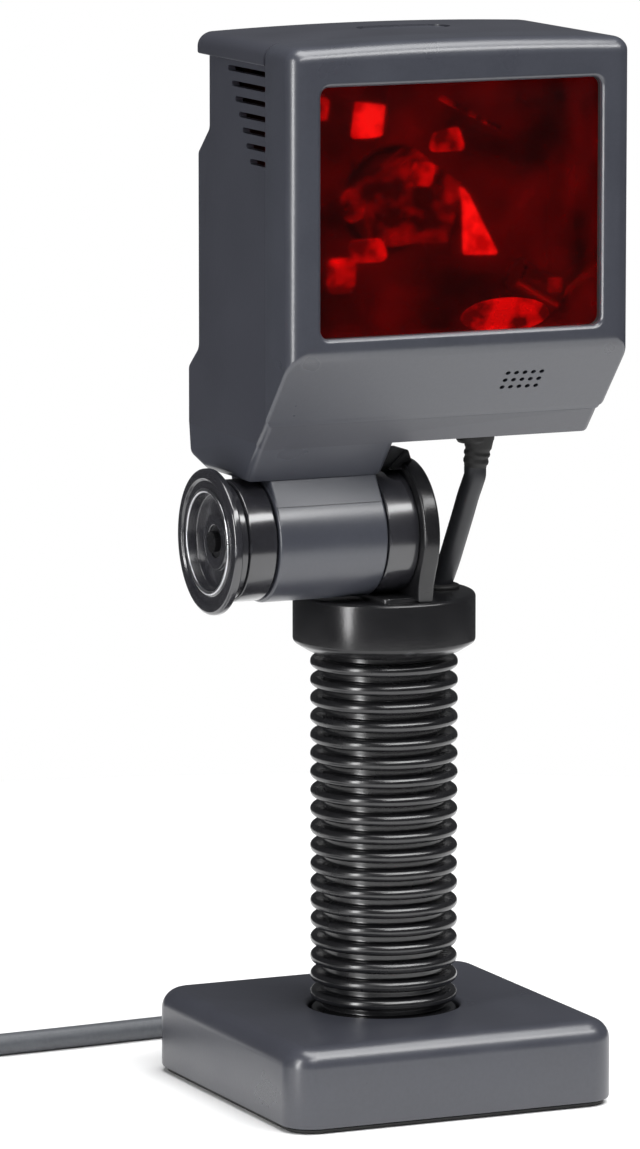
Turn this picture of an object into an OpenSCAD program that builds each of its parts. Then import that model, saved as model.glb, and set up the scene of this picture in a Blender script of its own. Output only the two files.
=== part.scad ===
// Hands-free presentation barcode scanner: a square window head that tilts on
// a flexible ribbed pole, which stands in a weighted square foot.
// +Z is up, the window faces -Y, and the origin is the centre of the foot's underside.

/* [Foot] */
// Side length of the square foot
base_w = 101; // [98:1:104]
// Height of the foot, rubber pad included
base_h = 24.5; // [23.5:0.5:25]
// Radius of the foot's upright corners
base_corner_r = 9; // [8:0.5:12]
// Radius of the foot's top edge
base_edge_r = 6; // [4:0.5:7]
// Thickness of the rubber pad
pad_h = 1.5; // [1:0.1:2]

/* [Pole] */
// Number of ribs, each a link of its own
rib_count = 19; // [19:1:19]
// Distance from one rib to the next
rib_pitch = 5.33; // [5.3:0.01:5.36]
// Height of one rib
rib_h = 3.2; // [3:0.1:3.2]
// Outer radius of the ribs
rib_r = 21; // [20.5:0.5:22]
// Radius of the round necks that join the ribs
neck_r = 17.5; // [17:0.1:17.6]

/* [Collar and pivot] */
// Radius of the collar on the pole's top end
collar_r = 26; // [25:0.5:27]
// Height of the collar's top face
collar_top = 143.6; // [143.2:0.1:143.8]
// Height of the tilt axis
pivot_z = 162.3; // [162.3:0.1:162.8]
// Distance of the tilt axis in front of the pole's axis
pivot_y = -8; // [-9:0.5:-7]
// Radius of the head's pivot barrel
barrel_r = 17.9; // [17.5:0.1:18]
// Radius of the clamp knob
knob_r = 20.5; // [19:0.5:21]

/* [Head] */
// Width of the head
head_w = 104; // [102:1:106]
// Height of the head's top face
head_top = 304.5; // [303.5:0.5:306]
// Front face of the head
face_y = -52; // [-53:0.5:-51]
// Height of the crease where the front panel starts to slant back
crease_z = 218.5; // [218:0.1:219]
// Height of the head's underside
head_bottom = 190; // [189.5:0.1:190.5]
// Width of the window opening
window_w = 85.7; // [84:0.1:87]
// Height of the window opening
window_h = 69.3; // [68:0.1:70]
// Depth of the window behind the front face
window_depth = 3.8; // [3:0.1:4.5]
// Thickness of the head's shells
shell_t = 2.2; // [2:0.1:2.6]

/* [Cord] */
// Diameter of the cord
cord_d = 6.3; // [6:0.1:6.4]

/* [Hidden] */
$fn = 64;
fine = 0.01;

RINGS = [for (k = [1 : rib_count]) str("flex_ring_", k < 10 ? "0" : "", k)];

// Foot
base_wall = 2.4;
base_bottom = pad_h;
weight_z = [pad_h + 0.8, pad_h + 11.3];
weight_w = base_w - 2 * base_wall - 3;
foot_hole_r = rib_r + 0.6;
screw_place = base_w / 2 - 17;
cord_exit_z = 8;
cord_slot_w = cord_d + 2.7;

// Pole
first_rib_z = 27.6;
half_pitch = rib_pitch / 2;
neck_gap = 0.2;
neck_rise = 2.28;
neck_wall = 2;
web_rise = 3.7;
socket_floor_z = 15;
shoulder_z = 20;
pole_bottom_z = first_rib_z - half_pitch;
pole_top_z = first_rib_z + (rib_count - 1) * rib_pitch + half_pitch;
core_r = 7;

// Collar and pivot
collar_bottom = pole_top_z + half_pitch - rib_h / 2;
collar_chamfer = [4.5, 3];
collar_wall = 3;
barrel_x = [-43.5, -10.5];
washer_t = 0.5;
spacer_x = [-52.5, barrel_x[0] - washer_t];
bush_x = [barrel_x[1] + washer_t, -0.5];
arm_x = [bush_x[1], 4.5];
spacer_r = 17.2;
bush_r = 17.4;
bolt_r = 4;
bolt_gap = 0.05;
thread_r = 3;
knob_x = [-58.6, spacer_x[0]];
knob_rim_t = 2.8;
knob_dish = 3.2;
cord_hole = [17.4, 0];

// Head
face_edge_r = 5;
side_step = 1;
bezel_back_y = -35;
cap_bottom = 297;
back_y = 15;
cap_back_y = 14;
recess_back_y = 7;
bulge_back_y = 22.5;
recess_z = [269.5, 277];
bulge_z = [209, 215];
split_y = -33.4;
window_z = crease_z + 4.7 + window_h / 2;
window_corner_r = 2.6;
neck_z = pivot_z + spacer_r + 0.5;
neck_front_y = -18.4;
pane_y = face_y + window_depth;
pane_t = 2;
engine_z = 257;
engine_y = -14;
boot_at = [23, -11.5];
boot_bottom = 179.2;
button_at = [2, -8];
button_size = [27, 11];
grille_at = [22.5, 208];
louvre_z = 294;
louvre_pitch = 4.05;
louvre_length = 26;
louvre_step = 2.5;
slant = (head_bottom_y() - face_y) / (crease_z - head_bottom);

// Routes of the cord, chosen by hand: head to collar, collar through the pole, foot to coil
upper_route = [
    [23, -11.5, 179], [23, -11.5, 177.2], [22.5, -10.6, 174.3], [21.9, -9.4, 171], [21, -7.5, 165],
    [20, -5.3, 158.5], [19, -3.1, 152], [18.1, -1.2, 147], [17.4, 0, collar_top]
];
inner_route = [
    [17.4, 0, 142.4], [17, 0, 139.5], [14.6, 0, 135], [11.2, 0, 130.5], [8, 0, 126],
    [5, 0, 120], [2.5, 0, 113], [0.8, 0, 105], [0, 0, 94], [0, 0, 75], [0, 0, 58], [0, 0, 42],
    [0, 0, 30], [0, 0, 24], [0, 1.2, 18.2], [0, 4.7, 12.7], [0, 10, 9.2], [0, 16, cord_exit_z],
    [0, 32, cord_exit_z], [0, 51, cord_exit_z]
];
lower_route = [
    [0, 51, cord_exit_z], [0, 57, 7.8], [-0.2, 63, 7], [-1.2, 69, 5.4], [-3.4, 74.5, 4],
    [-7, 79.5, 3.3], [-12.5, 83.5, 3.2], [-19.5, 86, 3.2], [-27, 86.5, 3.2], [-38, 86, 3.2],
    [-52, 85, 3.2], [-68, 84, 3.2], [-86, 83.2, 3.2], [-105, 82.7, 3.2], [-124, 82.5, 3.2],
    [-142, 82.5, 3.2], [-160, 82.5, 3.2]
];

// Coil of the cord that isn't laid out: four turns side by side, two layers high
coil_at = [-160, 38];
coil_turns = 4;
coil_layers = 2;
coil_mid_r = 35;
coil_half_w = coil_turns * cord_d / 2 + 0.1;
coil_h = coil_layers * cord_d + 0.3;
tail_r = coil_mid_r;
tail_z = coil_h + cord_d / 2 + fine;
connector_angle = 205;

// Position on the coil's top at an angle
function on_coil(a) = [coil_at[0] + tail_r * cos(a), coil_at[1] + tail_r * sin(a), tail_z];

tail_route = [for (a = [connector_angle - 75 : 15 : connector_angle]) on_coil(a)];

function rib_z(k) = first_rib_z + (k - 1) * rib_pitch;
function head_bottom_y() = -27;

// Points of an arc, from one angle to another
function arc(c, r, from, to, steps = 8) = [
    for (i = [0 : steps]) let (a = from + (to - from) * i / steps) c + r * [cos(a), sin(a)]
];

// ---- general shapes ----

// Plate with rounded upright corners, centred on the origin
module rounded_plate(w, d, r, h) {
    linear_extrude(height = h) rounded_outline(w, d, r);
}

module rounded_outline(w, d, r) {
    square([w - 2 * r, d], center = true);
    square([w, d - 2 * r], center = true);
    for (sx = [-1, 1], sy = [-1, 1])
        translate([sx * (w / 2 - r), sy * (d / 2 - r)]) circle(r);
}

// Block with rounded upright corners and a rounded top edge
module soft_top_block(w, d, h, corner_r, edge_r) {
    hull() {
        rounded_plate(w, d, corner_r, h - edge_r);
        for (sx = [-1, 1], sy = [-1, 1])
            translate([sx * (w / 2 - corner_r), sy * (d / 2 - corner_r), h - edge_r])
                rotate_extrude($fn = 32)
                    intersection() {
                        translate([corner_r - edge_r, 0]) circle(edge_r, $fn = 32);
                        square(corner_r + edge_r);
                    }
    }
}

// Extrudes an outline drawn in (Y, Z) along X
module along_x(from, to) {
    translate([from, 0, 0])
        rotate([90, 0, 90])
            linear_extrude(height = to - from) children();
}

// Cylinder along X
module rod_x(from, to, r) {
    translate([from, pivot_y, pivot_z])
        rotate([0, 90, 0])
            cylinder(h = to - from, r = r);
}

// Cross section of a tube: one ring of points around a route's point
function unit(v) = v / norm(v);
function heading(path, i) = unit(
    i == 0 ? path[1] - path[0]
    : i == len(path) - 1 ? path[i] - path[i - 1]
    : unit(path[i + 1] - path[i]) + unit(path[i] - path[i - 1])
);
function side_of(t, up) = unit(cross(t, up));

// Round tube swept along a route, as one polyhedron
module swept_tube(path, d, up, sides = 8) {
    n = len(path);
    points = [
        for (i = [0 : n - 1])
            let (t = heading(path, i), s = side_of(t, up), u = cross(s, t))
                for (k = [0 : sides - 1])
                    let (a = 360 * k / sides)
                        path[i] + d / 2 * (cos(a) * s + sin(a) * u)
    ];
    faces = concat(
        [[for (k = [0 : sides - 1]) k]],
        [
            for (i = [0 : n - 2], k = [0 : sides - 1])
                let (a = i * sides + k, b = i * sides + (k + 1) % sides)
                    [a, a + sides, b + sides, b]
        ],
        [[for (k = [0 : sides - 1]) n * sides - 1 - k]]
    );
    polyhedron(points, faces, convexity = 6);
}

// ---- foot ----

module screw_places() {
    for (sx = [-1, 1], sy = [-1, 1])
        translate([sx * screw_place, sy * screw_place, 0]) children();
}

module base_cover() {
    color("#5b5e67")
        difference() {
            translate([0, 0, base_bottom])
                soft_top_block(base_w, base_w, base_h - base_bottom, base_corner_r, base_edge_r);
            translate([0, 0, base_bottom - fine])
                rounded_plate(base_w - 2 * base_wall, base_w - 2 * base_wall, base_corner_r - base_wall,
                    base_h - base_bottom - base_edge_r);
            translate([0, 0, base_bottom])
                rounded_plate(base_w - 2 * base_edge_r, base_w - 2 * base_edge_r, 3,
                    base_h - base_bottom - base_wall);
            cylinder(r = foot_hole_r, h = base_h + 1);
            translate([0, base_w / 2, cord_exit_z])
                rotate([90, 0, 0])
                    cylinder(r = 5.2, h = 2 * base_wall + 1, center = true);
        }
    color("#5b5e67")
        screw_places()
            difference() {
                translate([0, 0, weight_z[1] + 0.1])
                    cylinder(r = 4, h = base_h - base_wall - weight_z[1] - 0.1);
                translate([0, 0, weight_z[1]]) cylinder(r = 1.5, h = 5);
            }
}

module base_weight() {
    color("silver")
        difference() {
            translate([0, 0, weight_z[0]])
                rounded_plate(weight_w, weight_w, 5, weight_z[1] - weight_z[0]);
            translate([0, 0, weight_z[0] - 1]) cylinder(r = 12, h = 20);
            translate([-cord_slot_w / 2, 0, weight_z[0] - 1]) cube([cord_slot_w, base_w, 20]);
            screw_places() {
                cylinder(r = 2.2, h = 20);
                cylinder(r = 4.2, h = weight_z[0] + 3);
            }
            for (a = [90 : 120 : 330])
                rotate([0, 0, a + 60]) translate([19, 0, 0]) cylinder(r = 2.2, h = 20);
        }
}

module base_pad() {
    color("#151515")
        rounded_plate(base_w - 3, base_w - 3, base_corner_r - 1.5, pad_h);
}

// Pan-head screws that hold the weight to the cover, and those of the pole socket
module base_screws() {
    color("silver") {
        screw_places() {
            translate([0, 0, weight_z[0] + 0.7]) cylinder(r = 3.8, h = 2.2);
            translate([0, 0, weight_z[0] + 2.9]) cylinder(r = 1.45, h = 11.5);
        }
        for (a = [90 : 120 : 330])
            rotate([0, 0, a + 60])
                translate([19, 0, 0]) {
                    translate([0, 0, weight_z[0] + 0.6]) cylinder(r = 2.1, h = 9.9);
                }
    }
}

// Flanged socket on the weight; its neck carries the first rib
module pole_socket() {
    color("#1c1c1e")
        difference() {
            union() {
                translate([0, 0, weight_z[1]]) cylinder(r = foot_hole_r - 0.4, h = 3);
                translate([0, 0, weight_z[1]]) cylinder(r = 19.5, h = shoulder_z - weight_z[1] + 1);
                translate([0, 0, shoulder_z])
                    rotate_extrude() rib_outline(pole_bottom_z - half_pitch + rib_h / 2 - shoulder_z, 16);
                translate([0, 0, pole_bottom_z]) joint_neck(pole_bottom_z - shoulder_z);
            }
            cylinder(r = neck_r - neck_wall, h = 40);
        }
}

module cord_gland() {
    color("#151515")
        difference() {
            translate([0, base_w / 2, cord_exit_z])
                rotate([-90, 0, 0])
                    union() {
                        translate([0, 0, -base_wall - 1.3]) cylinder(r = 6.6, h = 1.2);
                        translate([0, 0, -base_wall - 0.3]) cylinder(r = 5, h = base_wall + 0.5);
                        cylinder(r1 = 6.2, r2 = 4.2, h = 9);
                    }
            translate([0, base_w / 2 - 6, cord_exit_z])
                rotate([-90, 0, 0])
                    cylinder(r = cord_d / 2 + 0.1, h = 7);
            translate([0, base_w / 2 + 1 - fine, cord_exit_z])
                rotate([-88, 0, 0])
                    cylinder(r = cord_d / 2 + 0.3, h = 12);
        }
}

// ---- pole ----

// Half outline of a rib with a rounded rim, from its inner radius outward
module rib_outline(h, inner_r) {
    nose = 1.2;
    translate([inner_r, 0]) square([rib_r - nose - inner_r, h]);
    translate([rib_r - nose, nose]) square([nose, h - 2 * nose]);
    for (z = [nose, h - nose]) translate([rib_r - nose, z]) circle(nose);
}

// Ball-shaped neck centred on a joint, reaching down to the rib below it
module joint_neck(down) {
    intersection() {
        sphere(neck_r, $fn = 96);
        translate([0, 0, -down]) cylinder(r = neck_r + 1, h = down + neck_rise);
    }
}

// Ball-shaped seat for the neck below, centred on that neck's joint
module joint_seat() {
    intersection() {
        sphere(neck_r + neck_gap, $fn = 96);
        translate([0, 0, -5]) cylinder(r = rib_r, h = 5 + web_rise);
    }
}

module flex_ring(k) {
    color("#1c1c1e")
        translate([0, 0, rib_z(k)])
            difference() {
                union() {
                    translate([0, 0, -rib_h / 2]) rotate_extrude() rib_outline(rib_h, 15);
                    translate([0, 0, half_pitch]) joint_neck(half_pitch - 1.1);
                }
                translate([0, 0, -half_pitch]) joint_seat();
                translate([0, 0, -rib_h]) cylinder(r = neck_r - neck_wall, h = 12);
            }
}

// Flexible metal conduit inside the ribs
module gooseneck_core() {
    color("#55555a")
        difference() {
            translate([0, 0, socket_floor_z + 2]) cylinder(r = core_r, h = 86 - socket_floor_z);
            translate([0, 0, socket_floor_z]) cylinder(r = cord_d / 2 + 1.4, h = 90);
        }
}

module cord_inner() {
    color("#1a1b1e") swept_tube(inner_route, cord_d - 0.1, [1, 0, 0]);
}

// ---- collar and pivot ----

module collar() {
    color("#18181a")
        difference() {
            translate([0, 0, collar_bottom])
                rotate_extrude()
                    polygon([
                        [10, 0], [collar_r - collar_chamfer[0], 0], [collar_r, collar_chamfer[1]],
                        [collar_r, collar_top - collar_bottom - 0.8],
                        [collar_r - 0.8, collar_top - collar_bottom], [0, collar_top - collar_bottom],
                        [0, 5], [10, 5]
                    ]);
            translate([0, 0, pole_top_z]) joint_seat();
            translate([0, 0, collar_bottom - 1]) cylinder(r = neck_r - neck_wall, h = 8);
            translate([0, 0, pole_top_z + web_rise + 1])
                cylinder(r = collar_r - collar_wall, h = collar_top - pole_top_z - web_rise - 1 - collar_wall);
            translate([cord_hole[0], cord_hole[1], collar_top - 5]) cylinder(r = 4.6, h = 10);
            arm_screw_places() translate([0, 0, collar_top - 5]) cylinder(r = 1.6, h = 10);
        }
}

module arm_screw_places() {
    for (x = [-6.5, 1.5], y = [pivot_y - 7, pivot_y + 13]) translate([x, y, 0]) children();
}

// Single-sided bracket on the collar, with a stop fin beside the head's neck
module pivot_arm() {
    foot_h = 1;
    color("#18181a")
        difference() {
            union() {
                intersection() {
                    rod_x(arm_x[0], arm_x[1], knob_r);
                    translate([0, 0, collar_top + 50]) cube(100, center = true);
                }
                intersection() {
                    translate([arm_x[0], pivot_y - knob_r, collar_top])
                        cube([arm_x[1] - arm_x[0], 2 * knob_r, pivot_z - collar_top]);
                    cylinder(r = collar_r - 0.8, h = pivot_z);
                }
                intersection() {
                    translate([-9.8, pivot_y - 14, collar_top]) cube([14.3, 32, foot_h]);
                    cylinder(r = collar_r - 0.8, h = pivot_z);
                }
                translate([0, pivot_y + 5, 0])
                    rotate([90, 0, 0])
                        linear_extrude(height = 10)
                            polygon([
                                [arm_x[0] + 1, pivot_z + 14], [-9.7, pivot_z + bush_r + 0.3],
                                [-3, pivot_z + 23.4], [-1.4, pivot_z + 23.8], [arm_x[1] - 1, pivot_z + 17]
                            ]);
            }
            rod_x(bush_x[0], arm_x[0], bush_r + 0.1);
            rod_x(-1, 10, bolt_r + bolt_gap);
            rod_x(arm_x[1] - 1.2, 10, 7.2);
            arm_screw_places() translate([0, 0, collar_top - 1]) cylinder(r = 1.25, h = foot_h - 0.1 + 1);
            translate([cord_hole[0], cord_hole[1], collar_top - 5]) cylinder(r = 6.4, h = 10);
        }
}

module arm_screws() {
    color("silver")
        arm_screw_places() {
            translate([0, 0, collar_top - collar_wall - 1.7]) cylinder(r = 2.8, h = 1.7);
            translate([0, 0, collar_top - collar_wall]) cylinder(r = 1.2, h = collar_wall + 0.8);
        }
}

module pivot_bolt() {
    color("silver") {
        rod_x(spacer_x[0], arm_x[1] - 1.2, bolt_r);
        rod_x(knob_x[0] + 1.6, spacer_x[0], thread_r);
        translate([arm_x[1] - 1.2, pivot_y, pivot_z])
            rotate([0, 90, 0]) cylinder(r = 7, h = 3.4, $fn = 6);
    }
}

module hub(from, to, r) {
    difference() {
        rod_x(from, to, r);
        rod_x(from - 1, to + 1, bolt_r + bolt_gap);
    }
}

module pivot_spacer() {
    color("#0e0e10") hub(spacer_x[0], spacer_x[1], spacer_r);
}

module pivot_bush() {
    color("#0e0e10") hub(bush_x[0], bush_x[1], bush_r);
}

module friction_washers() {
    color("#8a8a90") {
        hub(spacer_x[1], barrel_x[0], 12);
        hub(barrel_x[1], bush_x[0], 12);
    }
}

module cord_grommet() {
    color("#101010")
        translate([cord_hole[0], cord_hole[1], 0])
            difference() {
                union() {
                    translate([0, 0, collar_top - collar_wall]) cylinder(r = 4.5, h = collar_wall);
                    translate([0, 0, collar_top]) cylinder(r = 5.6, h = 1.2);
                }
                translate([0, 0, collar_top - 4]) cylinder(r = cord_d / 2 + 0.5, h = 8);
            }
}

module cord_upper() {
    color("#1a1b1e") swept_tube(upper_route, cord_d, [1, 0, 0], 10);
}

module clamp_knob() {
    nose = 1.3;
    color("#101012")
        translate([knob_x[0], pivot_y, pivot_z])
            rotate([0, 90, 0])
                rotate_extrude($fn = 96)
                    difference() {
                        union() {
                            translate([0, 1]) square([spacer_r - 0.2, knob_x[1] - knob_x[0] - 1.3]);
                            translate([0, 1]) square([knob_r - nose, knob_rim_t - 1]);
                            translate([knob_r - nose, nose]) circle(nose);
                            translate([knob_r - nose, nose]) square([nose, knob_rim_t - nose]);
                        }
                        translate([0, -1]) square([14, knob_dish + 1]);
                        square([4.6, 10]);
                    }
}

// Threaded brass insert in the knob
module knob_insert() {
    color("#b08d45")
        difference() {
            rod_x(knob_x[0] + knob_dish + 0.2, knob_x[1] - 0.3, 4.6);
            rod_x(knob_x[0], knob_x[1], thread_r + bolt_gap);
        }
}

// ---- head ----

// Side outline of the head in (Y, Z), drawn in by a margin m
module head_side(m) {
    top = head_top - m;
    front = face_y + m;
    r = face_edge_r - m / 2;
    slant_in = m * 0.6;
    polygon(concat(
        arc([front + r, top - r], r, 180, 90),
        arc([cap_back_y - m - 2, top - 2], 2, 90, 0, 3),
        [
            [cap_back_y - m, cap_bottom - m], [recess_back_y - m, cap_bottom - m - 1],
            [recess_back_y - m, recess_z[1]], [back_y - m, recess_z[0]], [back_y - m, bulge_z[1]],
            [bulge_back_y - m, bulge_z[0]], [bulge_back_y - m, head_bottom + m],
            [head_bottom_y() + slant_in, head_bottom + m], [front, crease_z + slant_in]
        ]
    ));
}

// Front outline of the head in (X, Z)
module head_front(m, side) {
    w = head_w - 2 * m - 2 * side;
    translate([0, 150]) square([w, 300], center = true);
    translate([0, 290]) square([w - 8, 2 * (head_top - m - 290)], center = true);
    translate([0, 290]) square([w, 2 * (head_top - m - 294)], center = true);
    for (s = [-1, 1]) translate([s * (w / 2 - 4), head_top - m - 4]) circle(4);
}

// Top outline of the head in (X, Y), with rounded front corners
module head_plan(m, side) {
    w = head_w - 2 * m - 2 * side;
    r = face_edge_r - 1;
    translate([-w / 2, face_y + m + r]) square([w, 100]);
    translate([-w / 2 + r, face_y + m]) square([w - 2 * r, 100]);
    for (s = [-1, 1]) translate([s * (w / 2 - r), face_y + m + r]) circle(r);
}

// Solid shape of the head, drawn in by a margin
module head_solid(m, side = 0) {
    intersection() {
        along_x(-head_w / 2, head_w / 2) head_side(m);
        linear_extrude(height = head_top + 1) head_plan(m, side);
        translate([0, 60, 0])
            rotate([90, 0, 0])
                linear_extrude(height = 160)
                    intersection() {
                        head_front(m, side);
                        translate([-head_w / 2, 0]) square([head_w, head_top - m]);
                    }
    }
}

module head_half(front) {
    d = 120;
    translate([-head_w, front ? split_y - d : split_y, head_bottom - 10]) cube([2 * head_w, d, 140]);
}

module window_hole(grow, from_y, to_y) {
    translate([0, to_y, window_z])
        rotate([90, 0, 0])
            rounded_plate(window_w + 2 * grow, window_h + 2 * grow, window_corner_r + grow / 2,
                to_y - from_y);
}

module front_cover() {
    color("#5f6169")
        difference() {
            intersection() {
                difference() {
                    union() {
                        intersection() {
                            head_solid(0);
                            translate([-head_w, face_y - 1, 0])
                                cube([2 * head_w, bezel_back_y - face_y + 1, 400]);
                        }
                        head_solid(0, side_step);
                    }
                    head_solid(shell_t, 0);
                }
                head_half(true);
            }
            window_hole(0, face_y - 2, face_y + 10);
            grille_holes();
            boot_hole();
        }
}

// Rows of round sound holes in the slanted panel
module on_slant(z) {
    translate([0, head_bottom_y() - slant * (z - head_bottom), z])
        rotate([atan(slant) + 90, 0, 0]) children();
}

module grille_holes() {
    for (i = [-2 : 2], j = [-1 : 1])
        translate([grille_at[0] + 2.6 * i, 0, 0])
            on_slant(grille_at[1] + 2.2 * j)
                cylinder(r = 0.75, h = 12, center = true, $fn = 24);
}

// Thin cloth-backed plate behind the sound holes
module sound_grille() {
    color("#0c0c0e")
        translate([grille_at[0], 0, 0])
            on_slant(grille_at[1])
                translate([0, 0, -shell_t - 1.9])
                    rounded_plate(17, 11, 2, 0.8);
}

module boot_hole() {
    translate([boot_at[0], boot_at[1], head_bottom - 5]) cylinder(r = 6.2, h = 12);
}

module louvres() {
    for (i = [0 : 6], s = [-1, 1])
        translate([s * (head_w / 2 - side_step) - shell_t - 1, bezel_back_y + 1, louvre_z - louvre_pitch * i])
            cube([2 * shell_t + 2, louvre_length - louvre_step * i, 1.4]);
}

module rear_cover() {
    color("#4b4e57")
        difference() {
            intersection() {
                difference() {
                    union() {
                        head_solid(0, side_step);
                        intersection() {
                            head_solid(0);
                            translate([-head_w, -100, cap_bottom]) cube([2 * head_w, 200, 30]);
                        }
                    }
                    head_solid(shell_t, 0);
                }
                head_half(false);
            }
            louvres();
            boot_hole();
            translate([button_at[0], button_at[1], head_top - 6])
                rounded_plate(button_size[0] + 0.8, button_size[1] + 0.8, button_size[1] / 2 + 0.4 - fine, 10);
            neck_screw_places() cylinder(r = 1.7, h = 12, center = true);
        }
}

module neck_screw_places() {
    for (x = [-43, -18], y = [-14, 8]) translate([x, y, head_bottom]) children();
}

// Neck under the head with the pivot barrel, bored for the bolt
module neck_barrel() {
    top = head_bottom - 0.05;
    color("#5f6169")
        difference() {
            union() {
                rod_x(barrel_x[0], barrel_x[1], barrel_r);
                intersection() {
                    along_x(-50.5, barrel_x[1])
                        polygon([
                            [head_bottom_y(), top], [neck_front_y, neck_z], [10, neck_z],
                            [bulge_back_y - 1, neck_z + 3], [bulge_back_y - 1, top]
                        ]);
                    translate([0, 60, 0])
                        rotate([90, 0, 0])
                            linear_extrude(height = 120)
                                polygon([
                                    [-50.5, neck_z], [-50.5, top], [-8, top],
                                    [barrel_x[1], top - 3], [barrel_x[1], neck_z]
                                ]);
                }
                along_x(barrel_x[0], barrel_x[1])
                    polygon([
                        [neck_front_y, neck_z + 1], [-24, pivot_z + 6], [pivot_y, pivot_z],
                        [7, pivot_z + 6], [10, neck_z + 1]
                    ]);
            }
            rod_x(-60, 0, bolt_r + bolt_gap);
            neck_screw_places() translate([0, 0, -12]) cylinder(r = 1.25, h = 13);
        }
}

module window() {
    color([0.55, 0.02, 0.03, 0.6])
        window_hole(1.2, pane_y, pane_y + pane_t);
}

module window_gasket() {
    color("#101010")
        difference() {
            window_hole(1.2, face_y + shell_t + 0.05, pane_y);
            window_hole(0, face_y, pane_y + 1);
        }
}

module cover_screws() {
    color("silver")
        neck_screw_places() {
            translate([0, 0, shell_t]) cylinder(r = 2.8, h = 1.8);
            translate([0, 0, -9]) cylinder(r = 1.2, h = 9 + shell_t);
        }
}

// Frame that carries the mirrors, the motor and the laser
module optics_chassis() {
    color("#26262a")
        difference() {
            translate([-46, engine_y, 228]) cube([92, 2.4, 68]);
            translate([0, engine_y + 5, engine_z]) rotate([90, 0, 0]) cylinder(r = 14, h = 10);
        }
    color("#26262a")
        for (s = [-1, 1])
            translate([s * 46 - 1, engine_y - 24, 228]) cube([2, 24, 68]);
}

// Fixed mirrors around the spinning one, leaning towards the window
module fixed_mirrors() {
    color("#c8ccd2")
        for (a = [18 : 72 : 306])
            translate([0, engine_y - 13, engine_z])
                rotate([0, a, 0])
                    translate([28, 0, 0])
                        rotate([0, 0, -38])
                            cube([1.2, 15, 18], center = true);
}

module collector_mirror() {
    color("#d8dce2")
        translate([-16, engine_y - 6, 238])
            rotate([90, 0, 0])
                difference() {
                    cylinder(r = 8, h = 3);
                    translate([0, 0, 26]) sphere(24.5, $fn = 96);
                    cylinder(r = 1.5, h = 20, center = true);
                }
}

module laser_module() {
    color("#b08d45")
        translate([36, engine_y - 7, 232.5])
            rotate([0, 30, 0])
                rotate([0, 90, 0])
                    cylinder(r = 4.5, h = 14, center = true);
}

// Mirror wheel with five faces on the motor's shaft
module polygon_mirror() {
    color("#d8dce2")
        translate([0, engine_y - 4, engine_z])
            rotate([90, 0, 0])
                difference() {
                    linear_extrude(height = 8)
                        polygon([for (a = [18 : 72 : 306]) 14 * [cos(a), sin(a)]]);
                    cylinder(r = 1.05, h = 20, center = true);
                }
}

module mirror_motor() {
    color("#6a6c72") {
        translate([0, engine_y - 0.4, engine_z]) rotate([-90, 0, 0]) cylinder(r = 12, h = 7);
        translate([0, engine_y, engine_z]) rotate([90, 0, 0]) cylinder(r = 1, h = 11.6);
    }
}

module main_board() {
    color("#1d5a36")
        difference() {
            translate([-44, -2, 226]) cube([88, 1.6, 70]);
            for (x = [-40, 40], z = [230, 292])
                translate([x, 0, z]) rotate([90, 0, 0]) cylinder(r = 1.6, h = 10, center = true);
        }
}

module beeper() {
    color("#161616")
        translate([grille_at[0], -18, 205]) rotate([90, 0, 0]) cylinder(r = 6, h = 6);
}

// Overmould of the cord's plug under the head
module cord_boot() {
    color("#141416")
        translate([boot_at[0], boot_at[1], 0])
            union() {
                translate([0, 0, boot_bottom])
                    cylinder(r1 = 4.6, r2 = 5.7, h = head_bottom - boot_bottom);
                translate([0, 0, head_bottom]) cylinder(r = 5.7, h = 8);
            }
}

module mode_button() {
    color("#6a6d76")
        translate([button_at[0], button_at[1], head_top - shell_t - 1]) {
            rounded_plate(button_size[0], button_size[1], button_size[1] / 2 - fine, shell_t + 0.4);
            rounded_plate(button_size[0] + 3, button_size[1] + 3, button_size[1] / 2 + 1.4, 0.8);
        }
}

// ---- cord on the table ----

// The two stretches that aren't coiled: from the foot to the coil, and from the coil to the plug
module cord_lower() {
    color("#3a3c42") {
        swept_tube(lower_route, cord_d, [0, 0, 1], 10);
        swept_tube(tail_route, cord_d, [0, 0, 1], 10);
    }
}

module cord_coil() {
    color("#3a3c42")
        translate([coil_at[0], coil_at[1], 0])
            rotate_extrude($fn = 96)
                translate([coil_mid_r - coil_half_w, 0]) square([2 * coil_half_w, coil_h]);
}

// Strap round one side of the coil
module cord_tie() {
    strap = 1.2;
    color("#101010")
        translate([coil_at[0], coil_at[1], 0])
            rotate([0, 0, 20])
                translate([coil_mid_r - coil_half_w - strap, -5, 0])
                    difference() {
                        cube([2 * coil_half_w + 2 * strap, 10, coil_h + strap]);
                        translate([strap, -1, -1]) cube([2 * coil_half_w, 12, coil_h + 1]);
                    }
}

// Places children at the tail's end, +X along the cord
module at_tail_end() {
    translate(on_coil(connector_angle)) rotate([0, 0, connector_angle + 90]) children();
}

module connector_boot() {
    color("#151517")
        at_tail_end()
            rotate([0, 90, 0])
                cylinder(r1 = cord_d / 2, r2 = cord_d / 2, h = 10);
}

// Overmoulded plug with its metal shell
module connector_body() {
    color("#151517")
        at_tail_end() translate([10, -7.5, -cord_d / 2]) cube([19, 15, 7.5]);
    color("silver")
        at_tail_end() translate([29, -6, -cord_d / 2 + 1.5]) cube([11.5, 12, 4.5]);
}

// ---- assembly ----

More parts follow.
